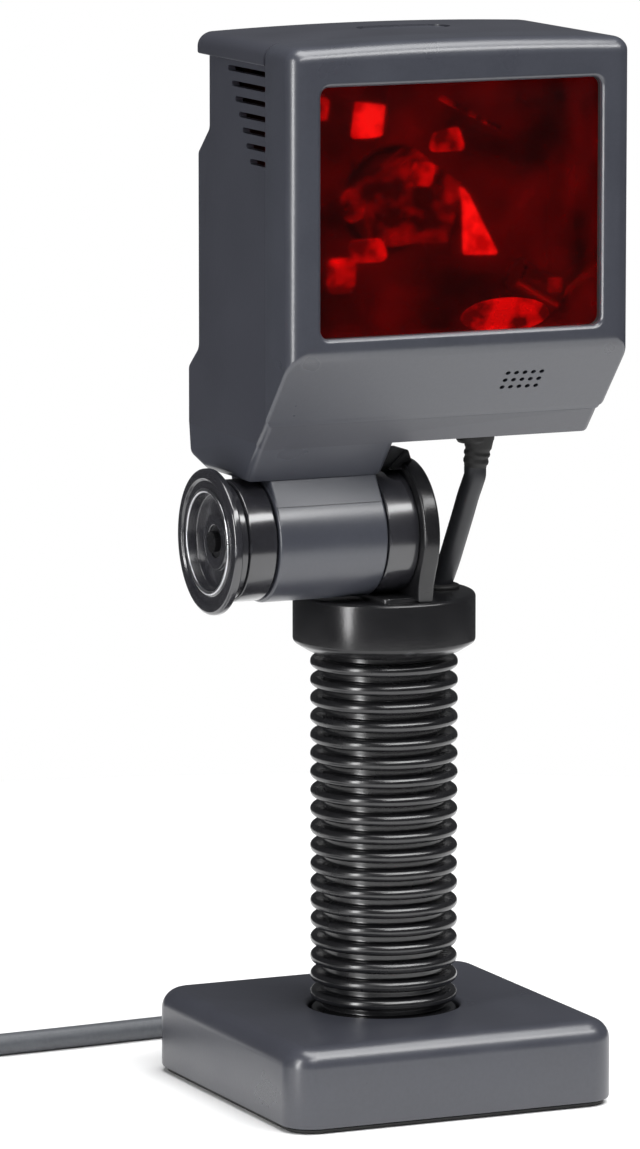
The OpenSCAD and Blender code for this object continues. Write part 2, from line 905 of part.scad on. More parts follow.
base_cover();
base_weight();
base_pad();
base_screws();
pole_socket();
cord_gland();
cord_inner();
gooseneck_core();
cord_lower();
cord_coil();
cord_tie();
connector_boot();
connector_body();
for (k = [1 : rib_count])
    flex_ring(k);
collar();
pivot_arm();
arm_screws();
pivot_bolt();
pivot_spacer();
pivot_bush();
friction_washers();
cord_grommet();
cord_upper();
clamp_knob();
knob_insert();
front_cover();
rear_cover();
neck_barrel();
window();
window_gasket();
sound_grille();
cover_screws();
optics_chassis();
fixed_mirrors();
collector_mirror();
laser_module();
polygon_mirror();
mirror_motor();
main_board();
beeper();
cord_boot();
mode_button();
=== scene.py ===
import math

import bmesh
import bpy
from mathutils import Matrix, Vector


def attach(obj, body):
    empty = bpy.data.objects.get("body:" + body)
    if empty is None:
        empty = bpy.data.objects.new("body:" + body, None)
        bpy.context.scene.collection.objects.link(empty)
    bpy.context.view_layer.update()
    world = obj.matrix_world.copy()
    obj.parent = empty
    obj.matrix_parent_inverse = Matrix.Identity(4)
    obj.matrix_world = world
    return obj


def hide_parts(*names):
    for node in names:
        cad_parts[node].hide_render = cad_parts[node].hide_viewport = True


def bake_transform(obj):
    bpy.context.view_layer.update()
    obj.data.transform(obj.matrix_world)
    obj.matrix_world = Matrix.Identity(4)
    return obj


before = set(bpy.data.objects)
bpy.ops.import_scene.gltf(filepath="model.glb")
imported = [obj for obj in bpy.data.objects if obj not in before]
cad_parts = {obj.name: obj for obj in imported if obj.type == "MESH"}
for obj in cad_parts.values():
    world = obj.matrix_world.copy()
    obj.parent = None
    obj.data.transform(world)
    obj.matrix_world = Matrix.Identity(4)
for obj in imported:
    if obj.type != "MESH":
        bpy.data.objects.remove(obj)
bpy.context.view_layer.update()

MM = 0.001
scene = bpy.context.scene

# ---------------------------------------------------------------- camera

CAM_AZIMUTH = math.radians(-24.76)
CAM_ELEVATION = math.radians(8.77)
CAM_DISTANCE = 2.199
CAM_TARGET = Vector((0, 0, 0.150))
CAM_SIDE, CAM_DROP = 0.01818, 0.0017
LENS_MM, SENSOR_MM = 242.9, 36

back = Vector((
    math.sin(CAM_AZIMUTH) * math.cos(CAM_ELEVATION),
    -math.cos(CAM_AZIMUTH) * math.cos(CAM_ELEVATION),
    math.sin(CAM_ELEVATION),
))
right = Vector((math.cos(CAM_AZIMUTH), math.sin(CAM_AZIMUTH), 0))
up = back.cross(right)
cam_data = bpy.data.cameras.new("camera")
cam_data.lens = LENS_MM
cam_data.sensor_width = SENSOR_MM
cam_data.clip_end = 60
camera = bpy.data.objects.new("camera", cam_data)
scene.collection.objects.link(camera)
camera.location = CAM_TARGET + back * CAM_DISTANCE
aim = CAM_TARGET - right * CAM_SIDE - up * CAM_DROP
camera.rotation_mode = "QUATERNION"
camera.rotation_quaternion = (aim - camera.location).to_track_quat("-Z", "Y")
scene.camera = camera

# ---------------------------------------------------------------- materials


def new_material(name):
    """Node material, with its nodes, its links and its main shader."""
    mat = bpy.data.materials.new(name)
    mat.use_nodes = True
    nodes = mat.node_tree.nodes
    return mat, nodes, mat.node_tree.links, nodes["Principled BSDF"]


def noise(nodes, links, coord, scale, detail=3.0, stretch=None):
    tex = nodes.new("ShaderNodeTexNoise")
    tex.inputs["Scale"].default_value = scale
    tex.inputs["Detail"].default_value = detail
    if stretch:
        mapping = nodes.new("ShaderNodeMapping")
        mapping.inputs["Scale"].default_value = stretch
        links.new(coord, mapping.inputs["Vector"])
        coord = mapping.outputs["Vector"]
    links.new(coord, tex.inputs["Vector"])
    return tex.outputs["Fac"]


def map_range(nodes, links, value, low, high, from_low=0.3, from_high=0.7):
    node = nodes.new("ShaderNodeMapRange")
    node.inputs["From Min"].default_value = from_low
    node.inputs["From Max"].default_value = from_high
    node.inputs["To Min"].default_value = low
    node.inputs["To Max"].default_value = high
    links.new(value, node.inputs["Value"])
    return node.outputs["Result"]


def moulded(name, rgb, rough, grain=1400, depth=0.05, vary=0.10, wear=0.0, metallic=0.0,
            specular=0.5, coat=0.0, stretch=None, rough_vary=0.06):
    """Moulded or turned surface: mottled colour, uneven gloss, fine grain and rubbed edges."""
    mat, nodes, links, shader = new_material(name)
    coord = nodes.new("ShaderNodeTexCoord").outputs["Object"]
    cloud = noise(nodes, links, coord, 55, 4.0)
    speck = noise(nodes, links, coord, 900, 2.0)
    fine = noise(nodes, links, coord, grain, 2.0, stretch)
    mix = nodes.new("ShaderNodeMix")
    mix.data_type = "RGBA"
    mix.inputs["A"].default_value = [c * (1 - vary) for c in rgb] + [1]
    mix.inputs["B"].default_value = [c * (1 + vary) for c in rgb] + [1]
    blend = nodes.new("ShaderNodeMath")
    blend.operation = "ADD"
    half = nodes.new("ShaderNodeMath")
    half.operation = "MULTIPLY"
    half.inputs[1].default_value = 0.5
    links.new(cloud, blend.inputs[0])
    links.new(speck, blend.inputs[1])
    links.new(blend.outputs[0], half.inputs[0])
    links.new(map_range(nodes, links, half.outputs[0], 0, 1, 0.35, 0.65), mix.inputs["Factor"])
    colour = mix.outputs["Result"]
    if wear:
        edge = nodes.new("ShaderNodeNewGeometry").outputs["Pointiness"]
        rub = nodes.new("ShaderNodeMix")
        rub.data_type = "RGBA"
        rub.inputs["B"].default_value = [min(1, c * (1 + wear) + 0.02 * wear) for c in rgb] + [1]
        links.new(map_range(nodes, links, edge, 0, 1, 0.52, 0.62), rub.inputs["Factor"])
        links.new(colour, rub.inputs["A"])
        colour = rub.outputs["Result"]
    links.new(colour, shader.inputs["Base Color"])
    gloss = map_range(nodes, links, cloud, rough - rough_vary, rough + rough_vary)
    links.new(gloss, shader.inputs["Roughness"])
    bump = nodes.new("ShaderNodeBump")
    bump.inputs["Strength"].default_value = 0.35
    bump.inputs["Distance"].default_value = depth * MM
    links.new(fine, bump.inputs["Height"])
    links.new(bump.outputs["Normal"], shader.inputs["Normal"])
    shader.inputs["Metallic"].default_value = metallic
    shader.inputs["Specular IOR Level"].default_value = specular
    shader.inputs["Coat Weight"].default_value = coat
    shader.inputs["Coat Roughness"].default_value = 0.12
    return mat


def glow(name, rgb, dark, strength, size, low=0.42, high=0.6):
    """Mirror glass or wall in patches of two reds, bright and dark, that paint reflections and shade, with a
    painted glow of its own in place of the light that would come in through the window.
    """
    mat, nodes, links, shader = new_material(name)
    coord = nodes.new("ShaderNodeTexCoord").outputs["Object"]
    cloud = noise(nodes, links, coord, size, 3.0)
    mix = nodes.new("ShaderNodeMix")
    mix.data_type = "RGBA"
    mix.inputs["A"].default_value = dark + [1]
    mix.inputs["B"].default_value = rgb + [1]
    links.new(map_range(nodes, links, cloud, 0, 1, low, high), mix.inputs["Factor"])
    links.new(mix.outputs["Result"], shader.inputs["Base Color"])
    links.new(mix.outputs["Result"], shader.inputs["Emission Color"])
    shader.inputs["Emission Strength"].default_value = strength
    links.new(map_range(nodes, links, cloud, 0.12, 0.3), shader.inputs["Roughness"])
    shader.inputs["Metallic"].default_value = 0.6
    return mat


def pane_material():
    """Deep red filter that the optics show through."""
    mat, nodes, links, shader = new_material("red_filter")
    coord = nodes.new("ShaderNodeTexCoord").outputs["Object"]
    cloud = noise(nodes, links, coord, 60, 3.0)
    mix = nodes.new("ShaderNodeMix")
    mix.data_type = "RGBA"
    mix.inputs["A"].default_value = [0.82, 0.012, 0.014, 1]
    mix.inputs["B"].default_value = [0.95, 0.03, 0.03, 1]
    links.new(cloud, mix.inputs["Factor"])
    links.new(mix.outputs["Result"], shader.inputs["Base Color"])
    links.new(map_range(nodes, links, cloud, 0.12, 0.18), shader.inputs["Roughness"])
    shader.inputs["Transmission Weight"].default_value = 1.0
    shader.inputs["IOR"].default_value = 1.35
    shader.inputs["Specular IOR Level"].default_value = 0.35
    return mat


SHELL = moulded("shell_plastic", (0.046, 0.049, 0.062), 0.30, 1500, 0.04, 0.07, 0.04,
                specular=0.85, rough_vary=0.03)
SHELL_REAR = moulded("shell_plastic_rear", (0.043, 0.045, 0.057), 0.31, 1500, 0.04, 0.08, 0.04,
                     specular=0.75, rough_vary=0.03)
BASE = moulded("foot_plastic", (0.040, 0.042, 0.053), 0.30, 1300, 0.04, 0.08, 0.06,
               specular=0.75, rough_vary=0.03)
POLE = moulded("pole_plastic", (0.0075, 0.0075, 0.0085), 0.24, 1200, 0.03, 0.15, 0.5, specular=0.8)
GLOSS = moulded("gloss_plastic", (0.020, 0.020, 0.024), 0.20, 900, 0.012, 0.15, 0.6, specular=0.9, coat=0.3)
SATIN = moulded("satin_plastic", (0.010, 0.010, 0.011), 0.22, 1400, 0.05, 0.12, 0.8, specular=0.5)
JACKET_DARK = moulded("head_cord_jacket", (0.024, 0.025, 0.029), 0.42, 700, 0.07, 0.12, 0.0, rough_vary=0.08)
RUBBER = moulded("rubber", (0.012, 0.012, 0.012), 0.62, 2200, 0.10, 0.2, 0.4)
JACKET = moulded("cord_jacket", (0.085, 0.090, 0.100), 0.45, 700, 0.07, 0.12, 0.0, rough_vary=0.08)
STEEL = moulded("steel", (0.55, 0.55, 0.57), 0.28, 900, 0.02, 0.08, 0.1, metallic=1.0, stretch=(1, 1, 12))
WEIGHT = moulded("weight_steel", (0.30, 0.30, 0.31), 0.45, 500, 0.10, 0.15, 0.2, metallic=0.9)
OXIDE = moulded("black_oxide", (0.018, 0.018, 0.020), 0.32, 900, 0.03, 0.2, 0.8, metallic=0.7)
BRASS = moulded("brass", (0.48, 0.33, 0.12), 0.30, 800, 0.03, 0.1, 0.2, metallic=1.0)
BOARD = moulded("board", (0.012, 0.075, 0.035), 0.38, 600, 0.08, 0.3, 0.2)
# Painted glow for the optics: the mirrors give off light of their own in place of the light that would reach
# them through the red window. The glow is strongest in the hot mirrors and weakest in the dim ones.
MIRROR_GLOW_HOT = glow("mirror_glow_hot", [1.0, 0.26, 0.20], [0.45, 0.02, 0.02], 0.95, 150)
MIRROR_GLOW_WARM = glow("mirror_glow_warm", [0.80, 0.09, 0.08], [0.12, 0.01, 0.01], 0.55, 130)
MIRROR_GLOW_DIM = glow("mirror_glow_dim", [0.40, 0.03, 0.03], [0.06, 0.004, 0.004], 0.28, 170)
# The bay's walls have a painted glow too, in dark red patches.
GLOWING_BAY_WALL = glow("glowing_bay_wall", [0.22, 0.016, 0.018], [0.03, 0.003, 0.004], 0.30, 45, 0.35, 0.7)
PANE = pane_material()

# ---------------------------------------------------------------- mesh helpers, in millimetres


def arc(cx, cy, rx, ry, degrees):
    """Points on an ellipse at the given angles."""
    return [(cx + rx * math.cos(math.radians(a)), cy + ry * math.sin(math.radians(a))) for a in degrees]


def rounded(points, n=5, closed=True):
    """Polygon with its corners filleted: points are (x, y, radius)."""
    out, count = [], len(points)
    for i, (x, y, r) in enumerate(points):
        corner = Vector((x, y))
        if r <= 0 or (not closed and i in (0, count - 1)):
            out.append((x, y))
            continue
        a = Vector(points[i - 1][:2]) - corner
        b = Vector(points[(i + 1) % count][:2]) - corner
        room = 0.49 * min(a.length, b.length)
        a.normalize()
        b.normalize()
        half = a.angle(b) / 2
        if half > 1.56:
            out.append((x, y))
            continue
        reach = min(r / math.tan(half), room)
        true_r = reach * math.tan(half)
        centre = corner + (a + b).normalized() * (true_r / math.sin(half))
        u, v = corner + a * reach - centre, corner + b * reach - centre
        turn = u.angle(v)
        for k in range(n + 1):
            f = k / n
            w = (math.sin((1 - f) * turn) * u + math.sin(f * turn) * v) / math.sin(turn)
            out.append(tuple(centre + w))
    return out


def offset(outline, d):
    """Outline moved inward by d: the outline runs counter-clockwise."""
    out, count = [], len(outline)
    for i, p in enumerate(outline):
        p0, p1 = Vector(outline[i - 1]), Vector(outline[(i + 1) % count])
        e0, e1 = (Vector(p) - p0).normalized(), (p1 - Vector(p)).normalized()
        n0, n1 = Vector((-e0.y, e0.x)), Vector((-e1.y, e1.x))
        out.append(tuple(Vector(p) + (n0 + n1) * (d / max(0.35, 1 + n0.dot(n1)))))
    return out


def rect_ring(x0, x1, z0, z1, r, corner=8, top=0, low_r=None):
    """Rounded rectangle as one ring of points, with extra points along its top edge."""
    low_r = r if low_r is None else low_r
    ring = []
    for cx, cz, cr, start in (
        (x0 + low_r, z0 + low_r, low_r, 180), (x1 - low_r, z0 + low_r, low_r, 270),
        (x1 - r, z1 - r, r, 0), (x0 + r, z1 - r, r, 90),
    ):
        for k in range(corner + 1):
            a = math.radians(start + 90 * k / corner)
            ring.append((cx + cr * math.cos(a), cz + cr * math.sin(a)))
        if start == 0:
            for k in range(1, top + 1):
                ring.append((x1 - r + (x0 + 2 * r - x1) * k / (top + 1), z1))
    return ring


def loft(rings, closed=False):
    """Vertices and faces of a skin over rings of equal count."""
    n = len(rings[0])
    verts = [p for ring in rings for p in ring]
    faces = []
    count = len(rings)
    for i in range(count if closed else count - 1):
        a, b = i * n, ((i + 1) % count) * n
        for k in range(n):
            m = (k + 1) % n
            faces.append((a + k, a + m, b + m, b + k))
    if not closed:
        faces.append(tuple(range(n - 1, -1, -1)))
        faces.append(tuple(range((count - 1) * n, count * n)))
    return verts, faces


def lathe(profile, axis="Z", centre=(0, 0, 0), segments=96, closed=True):
    """Turned solid: profile is a closed loop of (radius, height along the axis)."""
    rings = []
    for r, h in profile:
        ring = []
        for k in range(segments):
            a = 2 * math.pi * k / segments
            c, s = r * math.cos(a), r * math.sin(a)
            p = {"Z": (c, s, h), "X": (h, c, s), "Y": (s, h, c)}[axis]
            ring.append(tuple(p[i] + centre[i] for i in range(3)))
        rings.append(ring)
    return loft(rings, closed)


def slab(outline, x0, x1, edge=0.8, n=4):
    """Outline in (Y, Z) extruded along X, with rounded ends."""
    rings = []
    for k in range(n + 1):
        a = math.pi / 2 * k / n
        inset = edge * (1 - math.sin(a))
        rings.append([(x0 + edge * (1 - math.cos(a)), y, z) for y, z in offset(outline, inset)])
    for k in range(n, -1, -1):
        a = math.pi / 2 * k / n
        inset = edge * (1 - math.sin(a))
        rings.append([(x1 - edge * (1 - math.cos(a)), y, z) for y, z in offset(outline, inset)])
    return loft(rings)


def plate(outline, z0, z1, edge=0.4, n=3):
    """Outline in (X, Y) raised along Z, with rounded edges."""
    verts, faces = slab(outline, z0, z1, edge, n)
    return [(y, z, x) for x, y, z in verts], faces


def smooth_path(points, step=1.2):
    """Points along a centripetal Catmull-Rom curve through the given ones."""
    pts = [Vector(p) for p in points]
    pts = [pts[0] * 2 - pts[1]] + pts + [pts[-1] * 2 - pts[-2]]
    out = []
    for i in range(1, len(pts) - 2):
        p0, p1, p2, p3 = pts[i - 1:i + 3]
        t0 = 0.0
        t1 = t0 + math.sqrt((p1 - p0).length)
        t2 = t1 + math.sqrt((p2 - p1).length)
        t3 = t2 + math.sqrt((p3 - p2).length)
        count = max(1, round((p2 - p1).length / step))
        for k in range(count):
            t = t1 + (t2 - t1) * k / count
            a1 = p0 * ((t1 - t) / (t1 - t0)) + p1 * ((t - t0) / (t1 - t0))
            a2 = p1 * ((t2 - t) / (t2 - t1)) + p2 * ((t - t1) / (t2 - t1))
            a3 = p2 * ((t3 - t) / (t3 - t2)) + p3 * ((t - t2) / (t3 - t2))
            b1 = a1 * ((t2 - t) / (t2 - t0)) + a2 * ((t - t0) / (t2 - t0))
            b2 = a2 * ((t3 - t) / (t3 - t1)) + a3 * ((t - t1) / (t3 - t1))
            out.append(b1 * ((t2 - t) / (t2 - t1)) + b2 * ((t - t1) / (t2 - t1)))
    out.append(pts[-2])
    return out


def tube(path, radii, sides=16):
    """Round tube along a path; radii is one number or one for each point."""
    if not isinstance(radii, (list, tuple)):
        radii = [radii] * len(path)
    rings, side = [], None
    for i, p in enumerate(path):
        t = (path[min(i + 1, len(path) - 1)] - path[max(i - 1, 0)]).normalized()
        if side is None:
            side = t.cross(Vector((0, 0, 1)) if abs(t.z) < 0.9 else Vector((1, 0, 0)))
        side = (side - t * side.dot(t)).normalized()
        other = t.cross(side)
        rings.append([
            tuple(p + radii[i] * (math.cos(a) * side + math.sin(a) * other))
            for a in (2 * math.pi * k / sides for k in range(sides))
        ])
    return loft(rings)


def build(name, shape, material, body=None, replaces=(), sharp=32, matrix=None):
    """Makes a clean, smooth-shaded mesh object in the row frame from millimetre vertices."""
    verts, faces = shape
    mesh = bpy.data.meshes.new(name)
    mesh.from_pydata([tuple(v) for v in verts], [], faces)
    bm = bmesh.new()
    bm.from_mesh(mesh)
    if matrix is not None:
        bm.transform(matrix)
    bmesh.ops.remove_doubles(bm, verts=bm.verts, dist=0.0005)
    bmesh.ops.dissolve_degenerate(bm, edges=bm.edges, dist=0.0004)
    bmesh.ops.recalc_face_normals(bm, faces=bm.faces)
    bmesh.ops.scale(bm, vec=(MM, MM, MM), verts=bm.verts)
    bm.to_mesh(mesh)
    bm.free()
    obj = bpy.data.objects.new(name, mesh)
    scene.collection.objects.link(obj)
    mesh.materials.append(material)
    shade(obj, sharp)
    if body:
        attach(obj, body)
    if replaces:
        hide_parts(*replaces)
    return obj


def shade(obj, sharp=32):
    """Smooth shading, with sharp edges above an angle in degrees."""
    obj.data.polygons.foreach_set("use_smooth", [True] * len(obj.data.polygons))
    obj.data.set_sharp_from_angle(angle=math.radians(sharp))
    obj.data.update()


def combine(obj, others, operation="DIFFERENCE", sharp=32):
    """Exact boolean of obj with each of the others, which are removed."""
    bpy.context.view_layer.update()
    for other in others:
        mod = obj.modifiers.new("cut", "BOOLEAN")
        mod.operation = operation
        mod.solver = "EXACT"
        mod.object = other
    result = bpy.data.meshes.new_from_object(obj.evaluated_get(bpy.context.evaluated_depsgraph_get()))
    obj.modifiers.clear()
    materials = list(obj.data.materials)
    obj.data = result
    obj.data.materials.clear()
    for material in materials:
        obj.data.materials.append(material)
    obj.data.polygons.foreach_set("material_index", [0] * len(obj.data.polygons))
    for other in others:
        bpy.data.objects.remove(other)
    shade(obj, sharp)
    return obj


def reshape(obj, fn):
    """Moves each vertex with a function of millimetre coordinates."""
    for v in obj.data.vertices:
        v.co = Vector(fn(*(v.co / MM))) * MM
    obj.data.update()


def merge(shapes):
    """Several shapes as one."""
    verts, faces = [], []
    for v, f in shapes:
        base = len(verts)
        verts += list(v)
        faces += [tuple(i + base for i in face) for face in f]
    return verts, faces


# ---------------------------------------------------------------- cords, as routes in millimetres

CORD_R = 3.15
upper_route = [
    (23.2, -11.9, 182), (23, -11.5, 179), (23, -11.5, 177.2), (22.5, -10.6, 174.3), (21.9, -9.4, 171),
    (21, -7.5, 165), (20, -5.3, 158.5), (19, -3.1, 152), (18.1, -1.2, 147), (17.4, 0, 143.6), (17.3, 0, 141),
]
lower_route = [
    (0, 51, 8), (0, 57, 7.8), (-0.2, 63, 7), (-1.2, 69, 5.4), (-3.4, 74.5, 4),
    (-7, 79.5, 3.3), (-12.5, 83.5, 3.2), (-19.5, 86, 3.2), (-27, 86.5, 3.2), (-38, 86, 3.2),
    (-52, 85, 3.2), (-68, 84, 3.2), (-86, 83.2, 3.2), (-105, 82.7, 3.2), (-124, 82.5, 3.2),
    (-142, 82.5, 3.2), (-160, 82.5, 3.2),
]
COIL_AT = (-160, 38)
COIL_KNOTS = [  # angle, radius and height: four turns in, a step up, four turns out, and the loose end on top
    (90, 44.5, 3.2), (400, 44.5, 3.2), (450, 38.2, 3.2), (760, 38.2, 3.2), (810, 31.85, 3.2),
    (1120, 31.85, 3.2), (1170, 25.5, 3.2), (1420, 25.5, 3.2), (1480, 25.5, 9.55), (1730, 25.5, 9.55),
    (1780, 31.85, 9.55), (2090, 31.85, 9.55), (2140, 38.2, 9.55), (2450, 38.2, 9.55), (2500, 44.5, 9.55),
    (2740, 44.5, 9.55), (2800, 44.5, 16.06), (2860, 35, 16.06), (3085, 35, 16.06),
]
COIL_START, COIL_END, COIL_STEP = 97, 3085, 7
TIE_ANGLE = 20
TIE_TURN = 2880  # start of the turn on top, which passes over the tie
TIE_REACH, TIE_LIFT = 26, 1.1


def coil_point(a):
    """Point of the coil at an angle in degrees, eased between its knots and lifted over the tie."""
    for (a0, r0, z0), (a1, r1, z1) in zip(COIL_KNOTS, COIL_KNOTS[1:]):
        if a <= a1:
            f = (a - a0) / (a1 - a0)
            f = f * f * (3 - 2 * f)
            r, z = r0 + (r1 - r0) * f, z0 + (z1 - z0) * f
            break
    from_tie = abs(a - TIE_TURN - TIE_ANGLE) / TIE_REACH
    if from_tie < 1:
        z += TIE_LIFT * math.cos(math.pi / 2 * from_tie) ** 2
    t = math.radians(a)
    return Vector((COIL_AT[0] + r * math.cos(t), COIL_AT[1] + r * math.sin(t), z))


lower_path = smooth_path(lower_route)
lower_path += [coil_point(a) for a in range(COIL_START, COIL_END, COIL_STEP)] + [coil_point(COIL_END)]
upper_path = smooth_path(upper_route, 0.8)

table_cord = build("table_cord", tube(lower_path, CORD_R), JACKET, "base",
                   ("cord_lower", "cord_coil"), sharp=60)
head_cord = build("head_cord", tube(upper_path, CORD_R, 24), JACKET_DARK, sharp=60)
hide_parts("cord_upper")
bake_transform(head_cord)

# Where the plug starts, and its direction
plug_at = lower_path[-1]
plug_angle = math.radians(205 + 90)
plug_place = Matrix.Translation(plug_at) @ Matrix.Rotation(plug_angle, 4, "Z")


def along_plug(sections, corner=5):
    """Skin over rounded rectangles (distance, width, low, high, radius) along the plug."""
    rings = []
    for d, w, low, high, r in sections:
        rings.append([(d, y, z) for y, z in rect_ring(-w / 2, w / 2, low, high, r, corner)])
    return rings


plug_boot = build("plug_boot", loft(along_plug([
    (-6, 6.6, -3.2, 3.4, 3.2), (-3, 7.2, -3.15, 3.6, 3.3), (-2.4, 7.9, -3.15, 3.7, 3.4),
    (-0.8, 8.2, -3.15, 3.8, 3.4), (-0.2, 7.5, -3.1, 3.6, 3.3), (0.8, 7.7, -3.1, 3.6, 3.3),
    (1.4, 8.9, -3.15, 3.9, 3.4), (3.0, 9.3, -3.15, 4.0, 3.4), (3.6, 8.4, -3.1, 3.8, 3.4),
    (4.6, 8.7, -3.1, 3.8, 3.4), (5.2, 10.2, -3.15, 4.1, 3.5), (6.8, 10.8, -3.15, 4.2, 3.5),
    (7.4, 10.4, -3.1, 4.1, 3.5), (9.0, 11.6, -3.15, 4.3, 3.5), (10.6, 12.6, -3.15, 4.3, 3.4),
])), RUBBER, "base", ("connector_boot",), sharp=50, matrix=plug_place)
plug_body = build("plug_body", loft(along_plug([
    (10, 12.6, -2.9, 4.1, 2.6), (10.5, 13.8, -3.15, 4.3, 2.6), (11.5, 14.7, -3.15, 4.35, 2.4),
    (13, 15, -3.15, 4.35, 2.2), (14, 15, -3.15, 4.35, 2.2), (14.4, 14.4, -3.05, 4.15, 2.1),
    (15.4, 14.4, -3.05, 4.15, 2.1), (15.8, 15, -3.15, 4.35, 2.2), (16.8, 15, -3.15, 4.35, 2.2),
    (17.2, 14.4, -3.05, 4.15, 2.1), (18.2, 14.4, -3.05, 4.15, 2.1), (18.6, 15, -3.15, 4.35, 2.2),
    (19.6, 15, -3.15, 4.35, 2.2), (20, 14.4, -3.05, 4.15, 2.1), (21, 14.4, -3.05, 4.15, 2.1),
    (21.4, 15, -3.15, 4.35, 2.2), (28, 15, -3.15, 4.35, 2.2), (28.8, 14.4, -2.9, 4.1, 2.0),
    (29, 13.6, -2.6, 3.8, 1.8),
])), RUBBER, "base", ("connector_body",), sharp=40, matrix=plug_place)
plug_shell = build("plug_shell", loft(along_plug([
    (28, 12, -1.65, 2.85, 0.7), (40.2, 12, -1.65, 2.85, 0.7), (40.5, 11.6, -1.45, 2.65, 0.6),
    (40.4, 11.2, -1.25, 2.45, 0.5), (31, 11.2, -1.25, 2.45, 0.5), (30, 11, -1.2, 2.4, 0.5),
])), STEEL, "base", sharp=40, matrix=plug_place)
plug_tongue = build("plug_tongue", loft(along_plug([
    (30.5, 10.6, -1.1, 0.4, 0.3), (39.4, 10.6, -1.1, 0.4, 0.3), (39.8, 10.2, -0.9, 0.2, 0.25),
])), SATIN, "base", sharp=40, matrix=plug_place)

# Strap over the coil, as an outline in the coil's radial section
TIE_IN, TIE_OUT, TIE_TOP = 22.1, 47.9, 12.75
tie_outline = rounded([
    (TIE_IN - 1, 0.2, 0.3), (TIE_IN, 0.2, 0.3), (TIE_IN, TIE_TOP, 2.4), (TIE_OUT, TIE_TOP, 2.4),
    (TIE_OUT, 0.2, 0.3), (TIE_OUT + 1, 0.2, 0.3), (TIE_OUT + 1, TIE_TOP + 1, 3.3),
    (TIE_IN - 1, TIE_TOP + 1, 3.3),
], 5)
tie_turn = Matrix.Rotation(math.radians(TIE_ANGLE - 90), 4, "Z")
tie_place = Matrix.Translation((COIL_AT[0], COIL_AT[1], 0)) @ tie_turn
coil_tie = build("coil_tie", slab(tie_outline, -4.5, 4.5, 0.3, 3), RUBBER, "base",
                 ("cord_tie",), sharp=40, matrix=tie_place)

# Ribbed strain relief that follows the cord out of the foot: a flange, a neck, then a ribbed taper
RELIEF_END, FLANGE_END, NECK_END, RIBS_START = 21.5, 1.3, 4.2, 6
relief_path = smooth_path([(0, 46.6, 8), (0, 49, 8)] + lower_route[:4], 0.4)
relief, walked = [], 0.0
for i, p in enumerate(relief_path):
    walked += (p - relief_path[i - 1]).length if i else 0
    if walked > RELIEF_END:
        break
    if walked < FLANGE_END:
        r = 6.6
    elif walked < NECK_END:
        r = 4.9
    else:
        f = (walked - NECK_END) / 17.3
        r = 6.1 - 2.2 * f - (0.55 if math.sin(walked * 2.6) > 0.35 and walked > RIBS_START else 0)
    relief.append((p, r))
cord_relief = build("cord_relief", tube([p for p, r in relief], [r for p, r in relief], 32), RUBBER,
                    "base", ("cord_gland",), sharp=40)

# ---------------------------------------------------------------- foot

CORNER_STEPS = 12
FOOT_W, FOOT_R, FOOT_ROUND, FOOT_SIDE_TOP = 101, 9, 6, 18.5
ROUND_STEPS = 8


def square_ring(w, r, z):
    """Level ring round a square with rounded corners."""
    return [(x, y, z) for x, y in rect_ring(-w / 2, w / 2, -w / 2, w / 2, r, CORNER_STEPS)]


def circle_ring(r, z):
    """Level ring round a circle, with as many points as a square one."""
    return [(x, y, z) for x, y in rect_ring(-r, r, -r, r, r - 0.001, CORNER_STEPS)]


base_rings = []
for w, r, z in (
    (99.6, 8.3, 1.5), (100.5, 8.8, 1.7), (FOOT_W, FOOT_R, 2.4), (FOOT_W, FOOT_R, 10),
    (FOOT_W, FOOT_R, FOOT_SIDE_TOP),
):
    base_rings.append(square_ring(w, r, z))
for k in range(1, ROUND_STEPS + 1):
    a = math.pi / 2 * k / ROUND_STEPS
    inset = FOOT_ROUND * (1 - math.cos(a))
    z = FOOT_SIDE_TOP + FOOT_ROUND * math.sin(a)
    base_rings.append(square_ring(FOOT_W - 2 * inset, FOOT_R - inset, z))
# Round recess for the pole, then back down the inside
for r, z in ((23.2, 24.5), (22.5, 24.38), (22.0, 24.0), (21.7, 23.4), (21.6, 22.6), (21.6, 22.1)):
    base_rings.append(circle_ring(r, z))
base_rings.append(square_ring(89, 3, 22.1))
base_rings.append(square_ring(96.2, 6.6, FOOT_SIDE_TOP))
base_rings.append(square_ring(96.2, 6.6, 1.5))
build("foot_shell", loft(base_rings, closed=True), BASE, "base", ("base_cover",), sharp=40)
pad_rings = [square_ring(96.6, 6.9, 0), square_ring(97.6, 7.3, 0.25), square_ring(98, 7.5, 0.7),
             square_ring(98, 7.5, 1.1), square_ring(97.2, 7.1, 1.2), square_ring(97.2, 7.1, 1.5)]
build("foot_pad", loft(pad_rings), RUBBER, "base", ("base_pad",))

# ---------------------------------------------------------------- pole

PITCH, FIRST_Z, RINGS = 5.33, 27.6, 19
BALL_R, SEAT_R = 17.5, 17.7
LIP = 1.065  # from a joint's centre up to the seat's mouth, and down to the ball's foot


def ball(r, dz):
    """Radius of a ball's section at a height from its centre."""
    return math.sqrt(r * r - dz * dz)


ring_profile = (
    rounded([
        (ball(SEAT_R, LIP), -1.6, 0), (21, -1.6, 1.5), (21, 1.6, 1.5), (ball(BALL_R, LIP), 1.6, 0.5),
        (17.5, 2.665, 0),
    ], 6, closed=False)
    + [(ball(BALL_R, dz), 2.665 + dz) for dz in (0.8, 1.6, 2.1)]
    + [(17.0, 4.945), (15.5, 4.945), (15.5, 1.035)]
    + [(ball(SEAT_R, dz), -2.665 + dz) for dz in (3.7, 2.9, 2.0, 1.4)]
)
for k in range(1, RINGS + 1):
    name = f"rib_{k:02d}"
    node, body, z = f"flex_ring_{k:02d}", f"link_{k:02d}", FIRST_Z + (k - 1) * PITCH
    ring = build(name, lathe(ring_profile, segments=112), POLE, None, sharp=38)
    ring.data.transform(Matrix.Translation((0, 0, z * MM)))
    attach(ring, body)
    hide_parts(node)

